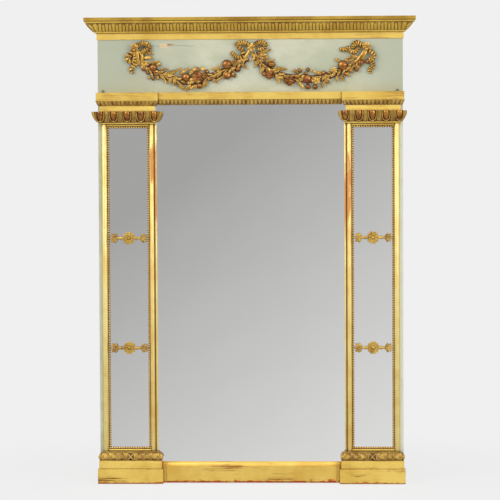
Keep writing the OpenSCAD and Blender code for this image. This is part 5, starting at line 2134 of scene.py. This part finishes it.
    def _swag_left(self) -> None:
        """The left swag, from the left bow to the middle one."""
        core = Band(
            (
                (-418, 128, 4), (-397, 104, 4), (-368, 82, 4), (-335, 68, 4), (-300, 56, 4), (-262, 45, 4),
                (-222, 42, 4), (-182, 46, 4), (-146, 58, 4), (-112, 70, 4), (-78, 84, 4),
                (-46, 100, 4), (-18, 124, 4),
            ),
            4.0,
        )
        vine = Band(((-404, 112, 9), (-388, 98, 10), (-372, 74, 9), (-362, 54, 6)), 2.6)
        second = Band(((-348, 72, 8), (-322, 66, 11), (-296, 66, 10), (-270, 54, 9)), 2.8)
        third = Band(((-160, 52, 9), (-134, 62, 11), (-108, 76, 11), (-92, 84, 9)), 3.0)
        sprays = [
            Spray(*row)
            for row in (
                ((-402, 150), (-362, 148), 13, 4, 12), ((-399, 129), (-363, 131), 12, 5, -14),
                ((-400, 140), (-372, 160), 10, 3), ((-380, 108), (-338, 118), 11, 6, 10),
                ((-410, 104), (-392, 84), 11, 5), ((-352, 98), (-336, 112), 9, 8),
                ((-334, 88), (-303, 87), 10, 8, 14), ((-340, 72), (-314, 36), 12, 7, -10),
                ((-326, 60), (-257, 90), 15, 8, 10), ((-294, 58), (-306, 32), 13, 7),
                ((-284, 52), (-280, 24), 14, 8), ((-272, 38), (-242, 9), 15, 6, 10),
                ((-262, 66), (-226, 92), 12, 6, -10), ((-222, 28), (-242, 12), 12, 6),
                ((-196, 26), (-224, 14), 12, 8), ((-212, 84), (-226, 66), 14, 12),
                ((-192, 90), (-218, 80), 16, 9, 20), ((-186, 84), (-166, 90), 14, 8, -20),
                ((-158, 52), (-166, 22), 12, 5), ((-164, 42), (-180, 18), 12, 7), ((-116, 84), (-148, 90), 11, 7),
                ((-110, 84), (-116, 104), 9, 5), ((-98, 60), (-130, 38), 10, 7, 12),
                ((-140, 52), (-122, 34), 11, 7), ((-74, 90), (-56, 76), 12, 7), ((-66, 112), (-38, 106), 16, 8, 14),
                ((-54, 108), (-8, 124), 16, 8, -12), ((-34, 112), (-10, 88), 13, 7, 10),
                ((-74, 104), (-52, 122), 13, 6), ((-68, 74), (-52, 56), 11, 5),
            )
        ]
        rounds = [
            Round(*row)
            for row in (
                (Kind.FRUIT, -363, 93, 14.5), (Kind.BERRY, -338, 104, 5), (Kind.BERRY, -400, 88, 8),
                (Kind.BERRY, -384, 74, 7), (Kind.BERRY, -380, 56, 6), (Kind.BERRY, -364, 53, 6.5, 1.3),
                (Kind.FRUIT, -349, 68, 9), (Kind.BERRY, -347, 53, 6), (Kind.BERRY, -331, 62, 6),
                (Kind.FRUIT, -240, 56, 15.5), (Kind.ROSE, -198, 60, 21), (Kind.BUNCH, -172, 61, 12),
                (Kind.BERRY, -161, 77, 8), (Kind.BERRY, -206, 84, 8), (Kind.FRUIT, -189, 24, 11),
                (Kind.BERRY, -222, 20, 7), (Kind.BERRY, -235, 13, 6), (Kind.BERRY, -110, 81, 6.5),
                (Kind.FRUIT, -86, 104, 18), (Kind.RIBBED, -84, 63, 15.5, 1.0, 55), (Kind.BERRY, -44, 85, 10.5),
                (Kind.BERRY, -58, 62, 8), (Kind.BERRY, -64, 82, 6), (Kind.BERRY, -9, 119, 7),
            )
        ]
        self._swag("swag_left", (core, vine, second, third), sprays, rounds)

    def _swag_right(self) -> None:
        """The right swag, from the middle bow to the right one."""
        core = Band(
            (
                (18, 146, 4), (34, 118, 4), (56, 92, 4), (84, 74, 4), (118, 60, 4), (158, 52, 4), (200, 50, 4),
                (242, 48, 4), (282, 56, 4), (316, 68, 4), (350, 82, 4), (384, 96, 4), (408, 112, 4),
            ),
            4.0,
        )
        vine = Band(((20, 148, 10), (32, 122, 12), (50, 102, 12), (68, 86, 12), (84, 66, 9)), 3.0)
        second = Band(((108, 72, 8), (124, 66, 9), (138, 56, 8)), 2.6)
        third = Band(((278, 60, 8), (298, 60, 10), (314, 66, 10), (324, 76, 8)), 3.2)
        sprays = [
            Spray(*row)
            for row in (
                ((30, 142), (80, 160), 13, 6, 12), ((36, 136), (62, 140), 14, 8, -10), ((18, 148), (6, 132), 11, 5),
                ((22, 132), (8, 114), 11, 6), ((26, 118), (22, 90), 11, 6), ((44, 122), (72, 134), 13, 6),
                ((60, 112), (94, 121), 12, 7, 10), ((88, 88), (140, 86), 15, 7, 12), ((48, 92), (40, 68), 11, 6),
                ((98, 66), (114, 30), 12, 7), ((112, 60), (126, 48), 11, 5), ((170, 72), (162, 86), 11, 6),
                ((178, 70), (194, 90), 12, 6), ((176, 44), (204, 10), 13, 7, -10),
                ((270, 64), (232, 78), 12, 7, 12), ((272, 58), (300, 42), 15, 8), ((280, 52), (298, 30), 13, 7, 10),
                ((284, 44), (269, 14), 12, 6), ((328, 58), (324, 36), 11, 7), ((340, 62), (354, 38), 11, 6),
                ((344, 112), (318, 121), 11, 4, 8), ((352, 112), (388, 120), 13, 5, -8),
                ((378, 100), (404, 120), 14, 7), ((386, 96), (410, 92), 14, 7, 12), ((366, 84), (388, 70), 13, 7),
                ((400, 128), (366, 126), 11, 5), ((406, 126), (380, 138), 11, 4), ((360, 72), (376, 56), 12, 6),
                ((402, 104), (420, 96), 12, 7),
            )
        ]
        rounds = [
            Round(*row)
            for row in (
                (Kind.RIBBED, 82, 103, 15, 0.7), (Kind.ROSE, 75, 64, 16), (Kind.FRUIT, 55, 67, 9),
                (Kind.BERRY, 64, 116, 6), (Kind.BUNCH, 150, 42, 20), (Kind.BERRY, 133, 38, 7),
                (Kind.FRUIT, 174, 58, 10), (Kind.BERRY, 187, 79, 9), (Kind.BERRY, 218, 83, 8),
                (Kind.BERRY, 210, 68, 7), (Kind.FRUIT, 216, 47, 17), (Kind.BLOSSOM, 249, 43, 15),
                (Kind.FRUIT, 218, 19, 10), (Kind.FRUIT, 245, 18, 10), (Kind.BERRY, 277, 70, 9),
                (Kind.BLOSSOM, 316, 79, 12), (Kind.FRUIT, 349, 98, 18.5), (Kind.BERRY, 330, 63, 7),
                (Kind.BERRY, 360, 66, 8), (Kind.BERRY, 349, 50, 7), (Kind.BERRY, 375, 79, 8.5),
                (Kind.BERRY, 401, 83, 9.5), (Kind.FRUIT, 415, 107, 12), (Kind.BERRY, 439, 112, 9),
            )
        ]
        self._swag("swag_right", (core, vine, second, third), sprays, rounds)


# Studio


@dataclass
class Studio:
    """The pale floor, the soft light, and the room that the plates reflect."""

    backdrop: float = 0.871
    floor_z: float = 0.0
    floor_size: float = 14.0
    floor_glow: float = 0.895
    shadow_share: float = 0.18
    shadow_reach: float = 1.9
    ambient: float = 0.66
    lamps_aim: Point = (0.0, 0.0, 0.95)
    # Name, place in metres, size in metres and watts
    lamps: tuple[tuple[str, Point, float, float], ...] = (
        ("soft_left", (-3.6, -4.2, 4.2), 2.6, 110), ("soft_right", (3.8, -4.6, 2.6), 3.0, 90),
    )

    def build(self) -> None:
        """Lays the floor, lights the mirror and makes the world."""
        bpy.context.scene.view_settings.view_transform = "Standard"
        self._floor()
        for lamp in self.lamps:
            self._lamp(*lamp)
        self._world()

    def _floor(self) -> None:
        """A pale floor that keeps the mirror's shadow."""
        clear()
        bpy.ops.mesh.primitive_plane_add(size=self.floor_size, location=(0, -self.floor_size / 4, self.floor_z))
        floor = taken("floor")
        mix = Recipe("pale_floor")
        mottle = mix.between(mix.noise(3, 3), 0.3, 0.7)
        colour = mix.mixed(mix.times(mottle, 0.06), (0.8, 0.8, 0.8), (0.72, 0.72, 0.72))
        lit = mix.node("ShaderNodeBsdfDiffuse", {"Color": colour}).outputs[0]
        away = mix.node("ShaderNodeVectorMath", {0: mix.place}, operation="LENGTH").outputs["Value"]
        near = mix.between(away, self.shadow_reach, 0.7)
        glow = mix.mixed(near, [self.backdrop] * 3, [self.floor_glow] * 3)
        plain = mix.node("ShaderNodeEmission", {"Color": glow, "Strength": 1.0}).outputs[0]
        clear_through = mix.node("ShaderNodeBsdfTransparent").outputs[0]
        path = mix.node("ShaderNodeLightPath").outputs
        seen = self._blend(mix, mix.times(near, self.shadow_share), plain, lit)
        told = self._blend(mix, path["Is Camera Ray"], lit, seen)
        out = self._blend(mix, path["Is Glossy Ray"], told, clear_through)
        mix.tree.links.new(out, mix.output.inputs["Surface"])
        floor.data.materials.append(mix.material)
        floor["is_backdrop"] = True

    @staticmethod
    def _blend(mix: Recipe, share: object, first: object, second: object) -> bpy.types.NodeSocket:
        """A mix of two shaders."""
        made = mix.tree.nodes.new("ShaderNodeMixShader")
        if isinstance(share, bpy.types.NodeSocket):
            mix.tree.links.new(share, made.inputs[0])
        else:
            made.inputs[0].default_value = share
        mix.tree.links.new(first, made.inputs[1])
        mix.tree.links.new(second, made.inputs[2])
        return made.outputs[0]

    def _lamp(self, name: str, place: Point, size: float, power: float) -> None:
        """A large soft lamp aimed at the middle of the mirror, in metres and watts."""
        clear()
        bpy.ops.object.light_add(type="AREA", location=place)
        lamp = bpy.context.object
        lamp.name = name
        lamp.data.name = name
        lamp.data.size = size
        lamp.data.energy = power
        aim = Vector(self.lamps_aim) - Vector(place)
        lamp.rotation_euler = aim.to_track_quat("-Z", "Y").to_euler()

    def _world(self) -> None:
        """The plain backdrop, the soft light of the room, and the room that the plates reflect."""
        world = bpy.data.worlds.new("studio")
        world.use_nodes = True
        bpy.context.scene.world = world
        room = WorldRecipe(world)
        path = room.node("ShaderNodeLightPath").outputs
        glossy = room.value("ADD", path["Is Glossy Ray"], path["Is Transmission Ray"])
        light = room.pick(glossy, self.ambient, room.reflected())
        light = room.pick(path["Is Camera Ray"], light, self.backdrop)
        room.close(light)


class WorldRecipe(Recipe):
    """Builds the world's nodes from grey values."""

    # Where the plates send the eye from the camera's own place
    MIRRORED = (-0.0436, -0.9973, -0.0593)
    # The grey that they show there, and how it changes to the right and upwards
    GREY, RIGHTWARD, UPWARD = 0.485, 1.59, -2.15
    DARKEST, BRIGHTEST, SILVER = 0.36, 0.75, 0.92
    # The room elsewhere: its walls, the light above, the floor and the windows
    WALLS, ABOVE, BELOW, WINDOWS = 1.0, 1.6, 0.7, 2.1

    def __init__(self, world: bpy.types.World) -> None:
        """Starts an empty world.

        Args:
            world: The world.
        """
        self.tree = world.node_tree
        self.tree.nodes.clear()
        self.output = self.tree.nodes.new("ShaderNodeOutputWorld")
        self.place = self.tree.nodes.new("ShaderNodeTexCoord").outputs["Generated"]

    def pick(self, share: object, first: object, second: object) -> bpy.types.NodeSocket:
        """First where share is 0 and second where it is 1."""
        made = self.node("ShaderNodeMix", {0: share, 2: first, 3: second}, data_type="FLOAT")
        return made.outputs[0]

    def reflected(self) -> bpy.types.NodeSocket:
        """The room as the gilding and the plates show it: even ahead, with soft windows at both sides."""
        across, away, up = self.part("X"), self.part("Y"), self.part("Z")
        slope = self.value("MULTIPLY_ADD", across, self.RIGHTWARD, self.GREY - self.RIGHTWARD * self.MIRRORED[0])
        slope = self.value("ADD", slope, -self.UPWARD * self.MIRRORED[2])
        slope = self.value("MULTIPLY_ADD", up, self.UPWARD, slope)
        plates = self.value("MAXIMUM", self.value("MINIMUM", slope, self.BRIGHTEST), self.DARKEST)
        plates = self.value("DIVIDE", plates, self.SILVER)
        high = self.between(up, 0.25, 0.8)
        low = self.between(up, -0.08, -0.32)
        room = self.pick(high, self.WALLS, self.ABOVE)
        room = self.pick(low, room, self.BELOW)
        window = self.between(self.value("ABSOLUTE", across), 0.45, 0.7)
        window = self.value("MULTIPLY", window, self.between(away, 0.2, -0.3))
        window = self.value("MULTIPLY", window, self.between(up, 0.0, 0.2))
        window = self.value("MULTIPLY", window, self.between(up, 0.75, 0.6))
        room = self.pick(window, room, self.WINDOWS)
        ways = {0: self.place, 1: self.MIRRORED}
        toward = self.node("ShaderNodeVectorMath", ways, operation="DOT_PRODUCT").outputs["Value"]
        return self.pick(self.between(toward, 0.984, 0.9925), room, plates)

    def close(self, light: bpy.types.NodeSocket) -> None:
        """Shines a grey light."""
        shine = self.node("ShaderNodeBackground", {"Color": light, "Strength": 1.0})
        self.tree.links.new(shine.outputs[0], self.output.inputs["Surface"])


@dataclass(frozen=True)
class Viewpoint:
    """The camera, placed as the photograph was taken."""

    target: Point = (-2.469, 0.0, 881.4)
    distance: float = 10.0
    azimuth: float = 2.5
    elevation: float = 2.75
    roll: float = -0.2784
    lens: float = 191.3
    sensor: float = 36.0
    clip_end: float = 100.0

    def build(self) -> bpy.types.Object:
        """Sets the camera up.

        Returns:
            The camera.
        """
        azimuth, elevation = math.radians(self.azimuth), math.radians(self.elevation)
        back = Vector(
            (
                math.sin(azimuth) * math.cos(elevation),
                -math.cos(azimuth) * math.cos(elevation),
                math.sin(elevation),
            )
        )
        right = Vector((math.cos(azimuth), math.sin(azimuth), 0))
        up = back.cross(right)
        roll = math.radians(self.roll)
        turned_right = right * math.cos(roll) + up * math.sin(roll)
        turned_up = up * math.cos(roll) - right * math.sin(roll)
        clear()
        bpy.ops.object.camera_add()
        camera = bpy.context.object
        camera.name = "camera"
        camera.data.lens = self.lens
        camera.data.sensor_width = self.sensor
        camera.data.clip_end = self.clip_end
        place = Vector(self.target) * MM + back * self.distance
        axes = Matrix((turned_right, turned_up, back)).transposed().to_4x4()
        camera.matrix_world = Matrix.Translation(place) @ axes
        bpy.context.scene.camera = camera
        return camera


def plain(bounds: Iterable[Iterable[float]]) -> list[list[float]]:
    """Bounds as plain lists of metres."""
    return [[round(float(value), 6) for value in corner] for corner in bounds]


def main() -> None:
    """Dresses the mirror, piece by piece, and sets it in the studio."""
    logging.basicConfig(level=logging.INFO, format="%(message)s")
    model = plain(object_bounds())
    shop = Workshop(frame["nodes"], Finishes())
    Carcass(shop).build()
    Plates(shop).build()
    Mouldings(shop).build()
    CorniceLeaves(shop).build()
    TipEdges(shop).build()
    for side in Side:
        EggBand(shop, side).build()
        PearlBeading(shop, side).build()
        TorusCarving(shop, side).build()
        for place, height in ROSETTES:
            RosetteBar(shop, side, place, height).build()
    Garlands(shop).build()
    Studio().build()
    Viewpoint().build()
    clear()
    {"model": model, "dressed": plain(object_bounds())}


if __name__ == "__main__":
    main()
